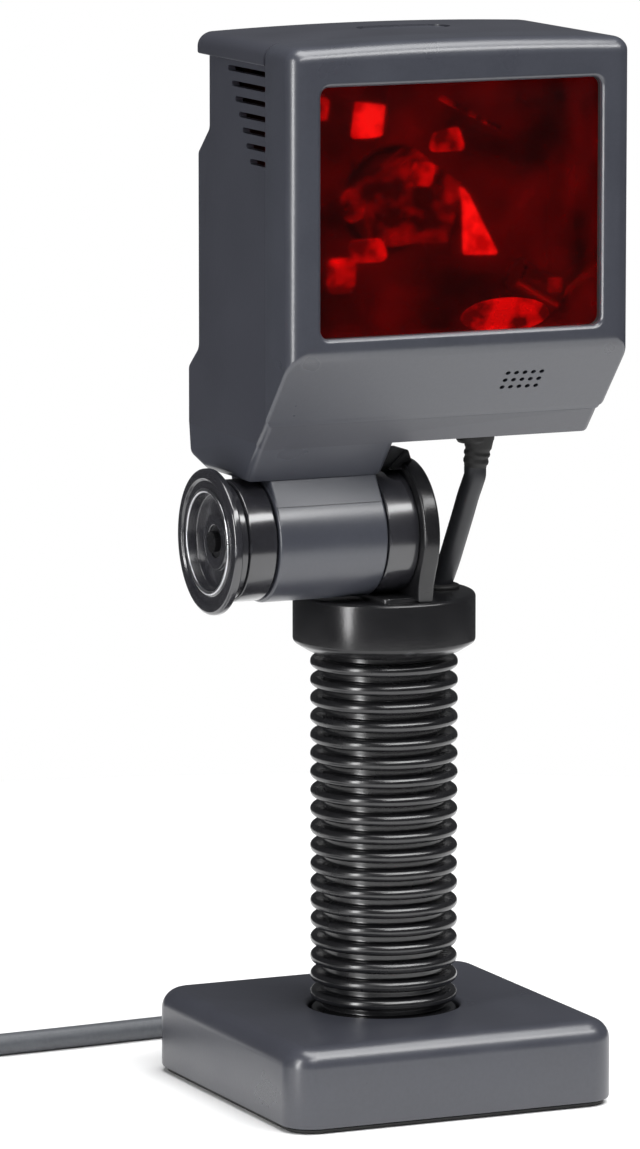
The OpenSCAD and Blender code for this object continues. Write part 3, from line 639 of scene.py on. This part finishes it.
socket = rounded([
    (15.5, 12.8, 0), (21.2, 12.8, 0.3), (21.2, 15.8, 0.6), (19.5, 15.8, 0.3), (19.5, 20, 0.2),
    (21, 20.3, 1.2), (21, 23.87, 1.5), (ball(BALL_R, LIP), 23.87, 0.5), (17.5, 24.935, 0),
    (ball(BALL_R, 1.2), 26.135, 0), (ball(BALL_R, 2.28), 27.215, 0.3), (15.5, 27.215, 0.2),
], 5)
build("pole_foot", lathe(socket, segments=112), POLE, "base", ("pole_socket",), sharp=38)

# Short lengths of the cord, one for each link, so that they bend with the pole, and of its conduit up to
# CORE_TOP
CORE_OUT, CORE_IN, CORE_TOP = 7.0, 4.55, 102
INNER_CORD_R = 3.1
links = ["base"] + [f"link_{k:02d}" for k in range(1, RINGS + 1)]
for k, body in enumerate(links):
    z0 = 17.2 if k == 0 else FIRST_Z + (k - 1) * PITCH - 2.5
    z1 = FIRST_Z - 2.9 if k == 0 else z0 + 4.93
    if z1 < CORE_TOP:
        turns = []
        count = max(1, round((z1 - z0) / 1.2))
        pitch = (z1 - z0) / count
        for i in range(count):
            low = z0 + i * pitch
            turns += [(CORE_OUT - 0.5, low), (CORE_OUT, low + 0.25 * pitch), (CORE_OUT, low + 0.7 * pitch)]
        turns += [(CORE_OUT - 0.5, z1), (CORE_IN, z1), (CORE_IN, z0)]
        piece = build(f"conduit_{k:02d}", lathe(turns, segments=40), OXIDE, body, sharp=50)
        if k == 0:
            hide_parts("gooseneck_core")
    inner_profile = rounded([
        (0, z0, 0), (INNER_CORD_R, z0, 0.6), (INNER_CORD_R, z1 + 0.3, 0.6), (0, z1 + 0.3, 0),
    ], 3, closed=False)
    inner = build(f"inner_cord_{k:02d}", lathe(inner_profile, segments=24, closed=False), JACKET,
                  body, sharp=50)
    if k == 0:
        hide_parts("cord_inner")

# ---------------------------------------------------------------- collar and pivot

PIVOT = (0, -8, 162.3)
CORD_HOLE = (17.4, 0, 0)
# The collar's underside has the same round seat as a rib, for the top rib's spigot
TOP_JOINT_Z = FIRST_Z + (RINGS - 0.5) * PITCH
collar_profile = rounded([
    (ball(SEAT_R, LIP), 127.3, 0), (22.0, 127.3, 0.5), (26, 129.7, 1.6), (26, 143.6, 1.3), (0, 143.6, 0),
    (0, 141, 0), (23, 141, 0.5), (23, 133.5, 0.5), (15.5, 133.5, 0.3),
], 5) + [(ball(SEAT_R, dz), TOP_JOINT_Z + dz) for dz in (3.7, 2.9, 2.0, 1.4)]
collar = build("collar_ring", lathe(collar_profile, segments=128), SATIN, None, sharp=36)
hole_profile = [(0, 138), (4.6, 138), (4.6, 150), (0, 150)]
hole = build("cut_hole", lathe(hole_profile, centre=CORD_HOLE, segments=48), SATIN)
combine(collar, [hole])
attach(collar, "collar")
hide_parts("collar")
grommet_profile = rounded([
    (3.4, 140.8, 0.3), (4.5, 140.8, 0.2), (4.5, 143.6, 0), (5.7, 143.6, 0.2), (5.7, 144.4, 0.5),
    (4.4, 144.9, 0.4), (3.4, 144.3, 0.4),
], 4)
build("grommet", lathe(grommet_profile, centre=CORD_HOLE, segments=48), RUBBER, "collar",
      ("cord_grommet",))

# Arm: a round plate with straight flanks down to the collar
arm_top = arc(PIVOT[1], PIVOT[2], 20.5, 20.5, range(-28, 209, 4))
arm_outline = [(12.3, 143.7), (12.0, 148)] + arm_top + [(-24.4, 148), (-24.0, 143.7)]
arm = build("arm_plate", slab(arm_outline, -0.5, 4.5, 1.0, 5), SATIN, None, sharp=36)
# Stop fin in the arm's top, as an outline in (X, Z)
fin_outline = rounded([
    (0.4, 175.6, 0), (4.0, 175.6, 0), (4.3, 177.6, 0.5), (1.6, 185.6, 0.6), (0.4, 185.6, 0.6),
    (-4.6, 180.6, 0.5), (-4.2, 180.0, 0.2), (0.4, 179.9, 0.0),
], 4)
fin_verts, fin_faces = slab(fin_outline, -13, -3, 0.5, 3)
fin = build("fin_part", ([(y, x, z) for x, y, z in fin_verts], fin_faces), SATIN)
foot_rings = [[(x, y, z) for x, y in rect_ring(-9.8 + m, 4.4 - m, -21.5 + m, 11.8 - m, 2.0, 5)]
              for z, m in ((143.55, 0), (144.4, 0), (144.75, 0.15), (144.9, 0.5))]
plinth = build("plinth_part", loft(foot_rings), SATIN)
combine(arm, [fin, plinth], "UNION", 36)
pocket = build("cut_pocket", lathe([(0, 3.4), (7.6, 3.4), (7.6, 6), (0, 6)], "X", PIVOT, 64), SATIN)
combine(arm, [pocket], sharp=36)
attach(arm, "collar")
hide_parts("pivot_arm")


def turned_x(name, x0, x1, r, bore, edge, material, body, replaces=()):
    """Plain hub or washer on the pivot's axis."""
    outer = [(bore, x0, 0), (r, x0, edge), (r, x1, edge), (bore, x1, 0)]
    return build(name, lathe(rounded(outer, 5), "X", PIVOT, 112), material, body, replaces, sharp=36)


turned_x("hub_left", -52.5, -44.05, 17.2, 4.2, 0.7, GLOSS, "collar", ("pivot_spacer",))
turned_x("hub_right", -10.0, -0.5, 17.4, 4.2, 0.7, GLOSS, "collar", ("pivot_bush",))
turned_x("washer_left", -44.0, -43.55, 12, 4.2, 0.1, STEEL, "collar", ("friction_washers",))
turned_x("washer_right", -10.45, -10.05, 12, 4.2, 0.1, STEEL, "collar")

knob_profile = rounded([
    (4.6, -52.8, 0.2), (17.1, -52.8, 0.5), (17.1, -55.9, 0.3), (20.0, -55.9, 0.5), (20.6, -56.4, 0.4),
    (20.6, -58.55, 1.2), (17.8, -58.55, 0.5), (17.3, -57.9, 0.2), (15.4, -57.9, 0.2), (15.0, -58.2, 0.2),
    (13.9, -58.2, 0.2), (13.5, -55.4, 0.4), (8.2, -55.2, 0.3), (7.8, -55.9, 0.2), (4.6, -55.9, 0.3),
], 5)
build("knob", lathe(knob_profile, "X", PIVOT, 128), GLOSS, "knob", ("clamp_knob",), sharp=36)
trim_profile = arc(14.45, -58.15, 0.6, 0.4, range(0, 360, 30))
build("knob_trim", lathe(trim_profile, "X", PIVOT, 96), STEEL, "knob", sharp=60)

# ---------------------------------------------------------------- head

HALF_W, TOP, FACE, CREASE, LOW = 52.0, 304.5, -52.0, 218.5, 190.0
SPLIT = -33.4
PANEL_RISE, PANEL_RUN = 28.5, 25
SLOPE = PANEL_RISE / PANEL_RUN
PANEL_ANGLE = math.atan(PANEL_RUN / PANEL_RISE)
EDGE_R = 5.0
CROWN, CROWN_START = 1.3, 297
TOP_POINTS = 15
REAR_HALF_W = 51.2
WIN_X, WIN_Z0, WIN_Z1 = 42.85, 223.2, 292.5
WALL = 2.2


def crowned(x, y, z):
    """Lowers the top towards its sides, so that it is slightly crowned."""
    f = max(0.0, (z - CROWN_START) / (TOP - CROWN_START))
    return x, y, z - CROWN * (x / HALF_W) ** 2 * min(1.0, f)


def panel_z(y):
    """Height of the slanted panel at a depth, with its rounded crease."""
    flat = CREASE - (y - FACE) * SLOPE
    reach = EDGE_R * math.tan(PANEL_ANGLE / 2)
    if y > FACE + reach * math.sin(PANEL_ANGLE):
        return flat
    return CREASE + reach - math.sqrt(max(0, EDGE_R ** 2 - (y - FACE - EDGE_R) ** 2))


def head_ring(y, half, top, low, r, low_r):
    """Upright ring round the head at a depth."""
    return [(x, y, z) for x, z in rect_ring(-half, half, low, top, r, 8, TOP_POINTS, low_r)]


cover = [
    head_ring(SPLIT, REAR_HALF_W, TOP, panel_z(SPLIT), 4, 1.2),
    head_ring(SPLIT - 0.5, REAR_HALF_W, TOP, panel_z(SPLIT - 0.5), 4, 1.2),
    head_ring(SPLIT - 0.9, 51.9, TOP, panel_z(SPLIT - 0.9), 4.4, 1.2),
    head_ring(SPLIT - 1.3, HALF_W, TOP, panel_z(SPLIT - 1.3), 4.5, 1.2),
    head_ring(-42, HALF_W, TOP, panel_z(-42), 4.5, 1.2),
]
for k in range(0, 9):
    a = math.pi / 2 * k / 8
    m = EDGE_R * (1 - math.cos(a))
    y = FACE + EDGE_R * (1 - math.sin(a))
    r, low_r = max(0.8, 4.5 - 0.75 * m), max(0.8, 1.2 - 0.1 * m)
    cover.append(head_ring(y, HALF_W - m, TOP - m, panel_z(y), r, low_r))
for grow, deep in ((1.5, 0), (1.15, 0), (0.75, 0.12), (0.35, 0.45), (0, 1.0), (0, WALL)):
    y = FACE + deep
    cover.append(head_ring(y, WIN_X + grow, WIN_Z1 + grow, WIN_Z0 - grow, 2.6 + grow, 2.6 + grow))
cover += [
    head_ring(FACE + WALL, HALF_W - WALL, TOP - WALL, panel_z(FACE + WALL) + 3.3, 2.5, 1),
    head_ring(SPLIT - 1.5, HALF_W - WALL, TOP - WALL, panel_z(SPLIT - 1.5) + 3.3, 2.5, 1),
    head_ring(SPLIT, 49.0, TOP - WALL, panel_z(SPLIT) + 3.3, 2.2, 1),
]
front = build("front_shell", loft(cover, closed=True), SHELL, None, sharp=30)

# Grille of round holes, square to the slanted panel
GRILLE_X, GRILLE_Z = 22.5, 208.0
HOLE_R, HOLE_PITCH_X, HOLE_PITCH_Z = 0.75, 2.6, 2.2
normal = Vector((0, -SLOPE, -1)).normalized()
grille_turn = Vector((0, 0, 1)).rotation_difference(normal).to_matrix().to_4x4()
hole_verts, hole_faces = lathe([(0, -6), (HOLE_R, -6), (HOLE_R, 2.2), (0, 2.2)], "Z", (0, 0, 0), 20)
holes = []
for i in range(-2, 3):
    for j in range(-1, 2):
        z = GRILLE_Z + HOLE_PITCH_Z * j
        at = Vector((GRILLE_X + HOLE_PITCH_X * i, FACE + (CREASE - z) / SLOPE, z))
        place = Matrix.Translation(at) @ grille_turn
        holes.append(([tuple(place @ Vector(v)) for v in hole_verts], hole_faces))
grille_cut = build("cut_grille", merge(holes), SHELL)
combine(front, [grille_cut], sharp=30)
reshape(front, crowned)
shade(front, 30)
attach(front, "head")
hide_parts("front_cover")

grille_at = Vector((GRILLE_X, FACE + (CREASE - GRILLE_Z) / SLOPE, GRILLE_Z)) - normal * 3.4
cloth = rounded([(-8.5, -5.5, 2), (8.5, -5.5, 2), (8.5, 5.5, 2), (-8.5, 5.5, 2)], 5)
build("grille_cloth", plate(cloth, -0.4, 0.4, 0.15), RUBBER, "head", ("sound_grille",),
      matrix=Matrix.Translation(grille_at) @ grille_turn)

# Rear shell: a side outline with rounded flanks and an overhanging top cap, cut off in front at SPLIT
REAR_Y, CAP_LOW, CAP_EDGE, CAP_STEPS = -38, 297.3, 2.4, 6
side = rounded([
    (REAR_Y, panel_z(REAR_Y), 0), (-27, LOW, 0), (22.5, LOW, 2.4), (22.5, 208.6, 3.0), (15.3, 214.6, 2.5),
    (15.3, 269.8, 2.5), (7.4, 277.2, 1.5), (7.4, 299, 0), (REAR_Y, 299, 0),
], 6)
rear = build("rear_shell", slab(side, -REAR_HALF_W, REAR_HALF_W, 2.2, 6), SHELL_REAR, None, sharp=30)
cap_rings = [head_ring(y, HALF_W, TOP, CAP_LOW, 4.5, 0.8) for y in (REAR_Y, 10)]
for k in range(1, CAP_STEPS + 1):
    a = math.pi / 2 * k / CAP_STEPS
    m = CAP_EDGE * (1 - math.cos(a))
    y = 11.7 + CAP_EDGE * math.sin(a)
    cap_rings.append(head_ring(y, HALF_W - m, TOP - m, CAP_LOW + 0.3 * m, 4.5 - m * 0.6, 0.8))
cap = build("cap_part", loft(cap_rings), SHELL_REAR)
combine(rear, [cap], "UNION", 30)
inner = rounded([
    (-45, 206, 0), (-25, LOW + WALL, 0.5), (20.3, LOW + WALL, 0.8), (20.3, 207.6, 1.5), (13.1, 213.6, 1.5),
    (13.1, 268.8, 1.5), (5.2, 276.2, 1), (5.2, TOP - WALL - 0.4, 1), (-45, TOP - WALL - 0.4, 0),
], 4)
hollow = build("cut_hollow", slab(inner, -49, 49, 0.8, 2), SHELL_REAR)
front_outline = [(-60, 180), (SPLIT + 0.05, 180), (SPLIT + 0.05, 320), (-60, 320)]
front_cut = build("cut_front", slab(front_outline, -70, 70, 0.1, 1), SHELL_REAR)

# Louvre slots on both sides, each one shorter than the slot above it
SLOTS, SLOT_TOP, SLOT_PITCH, SLOT_HALF, SLOT_ROUND = 7, 294.9, 4.13, 0.8, 0.78
SLOT_END, SLOT_SHORTER = -7.3, 2.5
slots = []
for s in (-1, 1):
    for i in range(SLOTS):
        z = SLOT_TOP - SLOT_PITCH * i
        y0, y1 = SPLIT + 0.5, SLOT_END - SLOT_SHORTER * i
        low, high = z - SLOT_HALF, z + SLOT_HALF
        outline = rounded([(y, h, SLOT_ROUND) for y, h in ((y0, low), (y1, low), (y1, high), (y0, high))], 4)
        slots.append(slab(outline, s * 51 - 4, s * 51 + 4, 0.05, 1))
slot_cut = build("cut_slots", merge(slots), SHELL_REAR)
BUTTON_X, BUTTON_Y, BUTTON_W, BUTTON_D = 2.0, -8.0, 27.0, 11.0


def oval(grow):
    """Outline of the button, larger by grow all round."""
    w, d = BUTTON_W / 2 + grow, BUTTON_D / 2 + grow
    corners = ((-w, -d), (w, -d), (w, d), (-w, d))
    return rounded([(BUTTON_X + x, BUTTON_Y + y, d - 0.01) for x, y in corners], 10)


well_shape = merge([plate(oval(0.4), 298, 306, 0.05, 1), plate(oval(1.5), 304.0, 308, 0.3, 2)])
well = build("cut_well", well_shape, SHELL_REAR)
combine(rear, [hollow, front_cut, slot_cut], sharp=30)
combine(rear, [well], sharp=30)
reshape(rear, crowned)
shade(rear, 30)
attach(rear, "head")
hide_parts("rear_cover")

button_rings = []
for grow, z in (
    (1.4, 301.4), (1.4, 302.1), (-0.05, 302.2), (-0.05, 303.5), (-0.25, 303.85), (-1.0, 304.05),
    (-2.5, 304.0), (-4.2, 303.9),
):
    button_rings.append([(x, y, z) for x, y in oval(grow)])
build("mode_key", loft(button_rings), SHELL, "button", ("mode_button",), sharp=34)

# Neck, flush with the slanted panel and the left flank
neck_front = [(FACE + (CREASE - z) / SLOPE + 0.04, z) for z in (194.4, 180.05)]
neck_back = rounded([
    neck_front[1] + (0,), (10, 180.05, 4.0), (21.2, 183.0, 3.0), (22.4, 191.5, 0), (22.4, 194.4, 0),
], 5, closed=False)
build("neck", slab(neck_front[:1] + neck_back, -51.17, -8.9, 2.2, 6), SHELL, "head", sharp=30)

# Pivot barrel, with the web that joins it to the neck
barrel = build("pivot_barrel", lathe(rounded([
    (4.2, -43.5, 0), (17.9, -43.5, 0.8), (17.9, -10.5, 0.8), (4.2, -10.5, 0)], 5), "X", PIVOT, 128), SHELL)
web_outline = [(-17.6, 180.3), (-22.6, 173.0), (-8, 168), (8.2, 171.0), (9.6, 180.3)]
web = build("web_part", slab(web_outline, -43.3, -10.7, 0.6, 3), SHELL)
combine(barrel, [web], "UNION", 34)
bore = build("cut_bore", lathe([(0, -60), (4.15, -60), (4.15, 5), (0, 5)], "X", PIVOT, 48), SHELL)
combine(barrel, [bore], "DIFFERENCE", 34)
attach(barrel, "head")
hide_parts("neck_barrel")

# Cord boot under the head, with a ribbed sleeve round the cord
SLEEVE_LOW = 179.4
boot_profile = rounded([
    (0, 198, 0), (5.2, 198, 0.2), (5.2, 190, 0), (5.7, 189.9, 0.2), (5.4, 187.2, 0.6), (4.9, 186.4, 0.4),
    (3.3, 186.4, 0.2), (0, 186.4, 0),
], 4, closed=False)


def sleeve_radius(z):
    """Radius of the sleeve at a height: a taper, with grooves below 186."""
    groove = 0.3 if int(z / 1.1) % 2 and z < 186 else 0
    return 3.5 + 0.75 * (z - SLEEVE_LOW) / 10.6 - groove


sleeve_path = [p for p in smooth_path([(23.9, -13.2, 190)] + upper_route, 0.6) if p.z > SLEEVE_LOW]
boot = lathe(boot_profile, "Z", (23, -11.5, 0), 48, closed=False)
sleeve = tube(sleeve_path, [sleeve_radius(p.z) for p in sleeve_path], 32)
build("head_boot", merge([boot, sleeve]), RUBBER, "head", ("cord_boot",), sharp=34)

# Window pane and gasket
pane_rings = [head_ring(y, WIN_X + g, WIN_Z1 + g, WIN_Z0 - g, 3, 3)
              for y, g in ((-46.2, 1.0), (-46.35, 1.2), (-48.05, 1.2), (-48.2, 1.0))]
build("window_pane", loft(pane_rings), PANE, "head", ("window",))
gasket_rings = [head_ring(y, WIN_X + g, WIN_Z1 + g, WIN_Z0 - g, 3, 3) for y, g in (
    (-49.7, 1.2), (-49.7, 0.35), (-49.5, 0.1), (-48.4, 0.05), (-48.22, 0.3), (-48.22, 1.2))]
build("window_seal", loft(gasket_rings, closed=True), RUBBER, "head", ("window_gasket",))

# ---------------------------------------------------------------- optics behind the window

SPIN_Z = 257  # height of the mirror wheel's axis
MIRROR_Y = (-31, -30)  # front and back of most mirrors
# Walls of the bay, with a painted glow in place of the light that comes in through the window.
bay_rings = [head_ring(y, half, top, low, 2, 2) for y, half, top, low in (
    (-11.6, 42, 292, 224), (-14.5, 43.2, 294, 222), (-45.2, 46.5, 297.5, 219.2), (-45.6, 46.0, 297.0, 219.7),
    (-45.2, 45.3, 296.4, 220.3), (-14.6, 41.8, 292.6, 223.4))]
bay = build("optics_bay", loft(bay_rings), GLOWING_BAY_WALL, "head", ("optics_chassis",))
motor_profile = [(0, -30), (14, -30), (14, 5), (0, 5)]
motor_cut = build("cut_motor", lathe(motor_profile, "Y", (0, 0, SPIN_Z), 64), GLOWING_BAY_WALL)
combine(bay, [motor_cut])


def facet(points, y0, y1, lean=(0, 0)):
    """Mirror plate with rounded edges from an outline in (X, Z); lean is its slope in depth along X and Z."""
    verts, faces = slab(points, 0, y1 - y0, 0.25, 2)
    cx = sum(p[0] for p in points) / len(points)
    cz = sum(p[1] for p in points) / len(points)
    return [(x, y0 + d + lean[0] * (x - cx) + lean[1] * (z - cz), z) for d, x, z in verts], faces


def box_points(x0, x1, z0, z1, r=0.6, shear=0.0):
    """Rounded four-sided outline whose top is moved sideways by shear."""
    w = (z1 - z0) * shear
    return rounded([(x0, z0, r), (x1, z0, r), (x1 + w, z1, r), (x0 + w, z1, r)], 3)


warm = [
    facet(rounded([(-6.2, 262.4, 1.2), (1.6, 261.6, 1.2), (2.9, 267.5, 1.2), (-3.0, 269.2, 1.2)], 3),
          *MIRROR_Y),
    facet(box_points(-35.4, -29.1, 278.6, 284.6, 1.0, 0.1), *MIRROR_Y, (0.1, -0.1)),
    facet(rounded([(-0.4, 271, 1.5), (12.5, 270.5, 1.5), (10, 277, 1.5), (1.5, 276, 1.5)], 3),
          *MIRROR_Y, (0.2, 0.1)),
    facet(box_points(-29, -20.5, 234.3, 243.6, 2.0, 0.2), *MIRROR_Y, (0.1, 0.2)),
    facet(box_points(-20.5, -10.5, 242.2, 248.5, 2.0, -0.3), *MIRROR_Y, (-0.1, 0.1)),
]
hot = [
    facet(rounded([(-22.6, 274.9, 0.8), (-13.2, 275.8, 0.8), (-12.4, 284.0, 0.8), (-21.4, 284.4, 0.8)], 3),
          *MIRROR_Y, (0.1, 0)),
    facet(rounded([(11.0, 242.6, 0.7), (21.5, 242.1, 0.7), (10.3, 262.0, 0.4)], 3), -30, -28.9, (0.05, 0.02)),
]
dim = [
    facet(rounded([(2.9, 284.6, 0.6), (22.2, 274.8, 0.6), (22.9, 276.2, 0.6), (3.6, 286.2, 0.6)], 2),
          -31, -30.2),
    facet(arc(-21.2, 257.7, 3.7, 4.6, range(0, 360, 15)), *MIRROR_Y),
    facet(box_points(35.4, 39.6, 231.2, 235.2), *MIRROR_Y),
]
# These mirrors carry a painted glow and painted reflections.
build("mirrors_glow_warm", merge(warm), MIRROR_GLOW_WARM, "head", ("fixed_mirrors",), sharp=40)
build("mirrors_glow_hot", merge(hot), MIRROR_GLOW_HOT, "head", ("collector_mirror",), sharp=40)
build("mirrors_glow_dim", merge(dim), MIRROR_GLOW_DIM, "head", sharp=40)
# The ledge and the wheel carry a painted glow too.
ledge = arc(17.3, 226.6, 13.4, 4.9, range(0, 360, 10))
build("mirror_ledge", facet(ledge, -42.5, -41.6, (0, -0.3)), MIRROR_GLOW_WARM, "head", sharp=40)
wheel_verts, wheel_faces = slab(arc(0, SPIN_Z, 14, 14, range(18, 360, 72)), -26, -18, 0.4, 2)
build("mirror_wheel", ([(x, y, z) for y, x, z in wheel_verts], wheel_faces), MIRROR_GLOW_DIM, "spinner",
      ("polygon_mirror",), sharp=30)

# ---------------------------------------------------------------- CAD nodes that stay

KEPT = {
    "base_weight": WEIGHT, "base_screws": STEEL, "arm_screws": STEEL, "pivot_bolt": OXIDE,
    "knob_insert": OXIDE, "cover_screws": STEEL, "laser_module": BRASS, "mirror_motor": WEIGHT,
    "main_board": BOARD, "beeper": SATIN,
}
for node, material in KEPT.items():
    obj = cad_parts[node]
    obj.data.materials.clear()
    obj.data.materials.append(material)
    obj.data.polygons.foreach_set("material_index", [0] * len(obj.data.polygons))

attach(bay, "head")

# ---------------------------------------------------------------- floor and light, in metres

FLOOR_R, FLOOR_SIDES = 0.5, 72


def floor_material():
    """Pale, faintly clouded paper."""
    mat, nodes, links, shader = new_material("floor")
    coord = nodes.new("ShaderNodeTexCoord").outputs["Object"]
    cloud = noise(nodes, links, coord, 4, 3.0)
    mix = nodes.new("ShaderNodeMix")
    mix.data_type = "RGBA"
    mix.inputs["A"].default_value = [0.84, 0.84, 0.84, 1]
    mix.inputs["B"].default_value = [0.88, 0.88, 0.88, 1]
    links.new(cloud, mix.inputs["Factor"])
    links.new(mix.outputs["Result"], shader.inputs["Base Color"])
    shader.inputs["Roughness"].default_value = 0.9
    shader.inputs["Specular IOR Level"].default_value = 0.1
    return mat


floor_mesh = bpy.data.meshes.new("floor")
floor_rim = arc(0, 0, FLOOR_R, FLOOR_R, range(0, 360, 360 // FLOOR_SIDES))
floor_mesh.from_pydata([(x, y, 0) for x, y in floor_rim], [], [tuple(range(FLOOR_SIDES))])
floor_mesh.materials.append(floor_material())
floor = bpy.data.objects.new("floor", floor_mesh)
scene.collection.objects.link(floor)

# The camera sees white, and everything else is lit by a dim grey
world = bpy.data.worlds.new("studio")
scene.world = world
world.use_nodes = True
wn, wl = world.node_tree.nodes, world.node_tree.links
background = wn["Background"]
background.inputs["Color"].default_value = (0.62, 0.63, 0.66, 1)
background.inputs["Strength"].default_value = 0.10
white = wn.new("ShaderNodeBackground")
white.inputs["Color"].default_value = (1, 1, 1, 1)
white.inputs["Strength"].default_value = 1.0
path = wn.new("ShaderNodeLightPath")
mixer = wn.new("ShaderNodeMixShader")
wl.new(path.outputs["Is Camera Ray"], mixer.inputs["Fac"])
wl.new(background.outputs[0], mixer.inputs[1])
wl.new(white.outputs[0], mixer.inputs[2])
wl.new(mixer.outputs[0], wn["World Output"].inputs["Surface"])


def softbox(name, azimuth, elevation, distance, width, height, power, look=(0, 0, 0.17)):
    """Rectangular lamp aimed at a point of the object; angles are in degrees, as for the camera."""
    light = bpy.data.lights.new(name, "AREA")
    light.shape = "RECTANGLE"
    light.size, light.size_y = width, height
    light.energy = power
    obj = bpy.data.objects.new(name, light)
    scene.collection.objects.link(obj)
    a, e = math.radians(azimuth), math.radians(elevation)
    out = Vector((math.sin(a) * math.cos(e), -math.cos(a) * math.cos(e), math.sin(e)))
    obj.location = Vector(look) + out * distance
    obj.rotation_mode = "QUATERNION"
    obj.rotation_quaternion = (-out).to_track_quat("-Z", "Y")
    return obj


sun = bpy.data.lights.new("overhead", "SUN")
sun.energy = 3.6
sun.angle = math.radians(50)
overhead = bpy.data.objects.new("overhead", sun)
scene.collection.objects.link(overhead)
overhead.rotation_mode = "QUATERNION"
overhead.rotation_quaternion = Vector((-0.10, 0.16, -1)).to_track_quat("-Z", "Y")
softbox("left_strip", -70, 10, 1.3, 0.22, 1.0, 11)
softbox("high_front", 20, 45, 1.5, 2.0, 0.35, 20)
scene.view_settings.view_transform = "Standard"
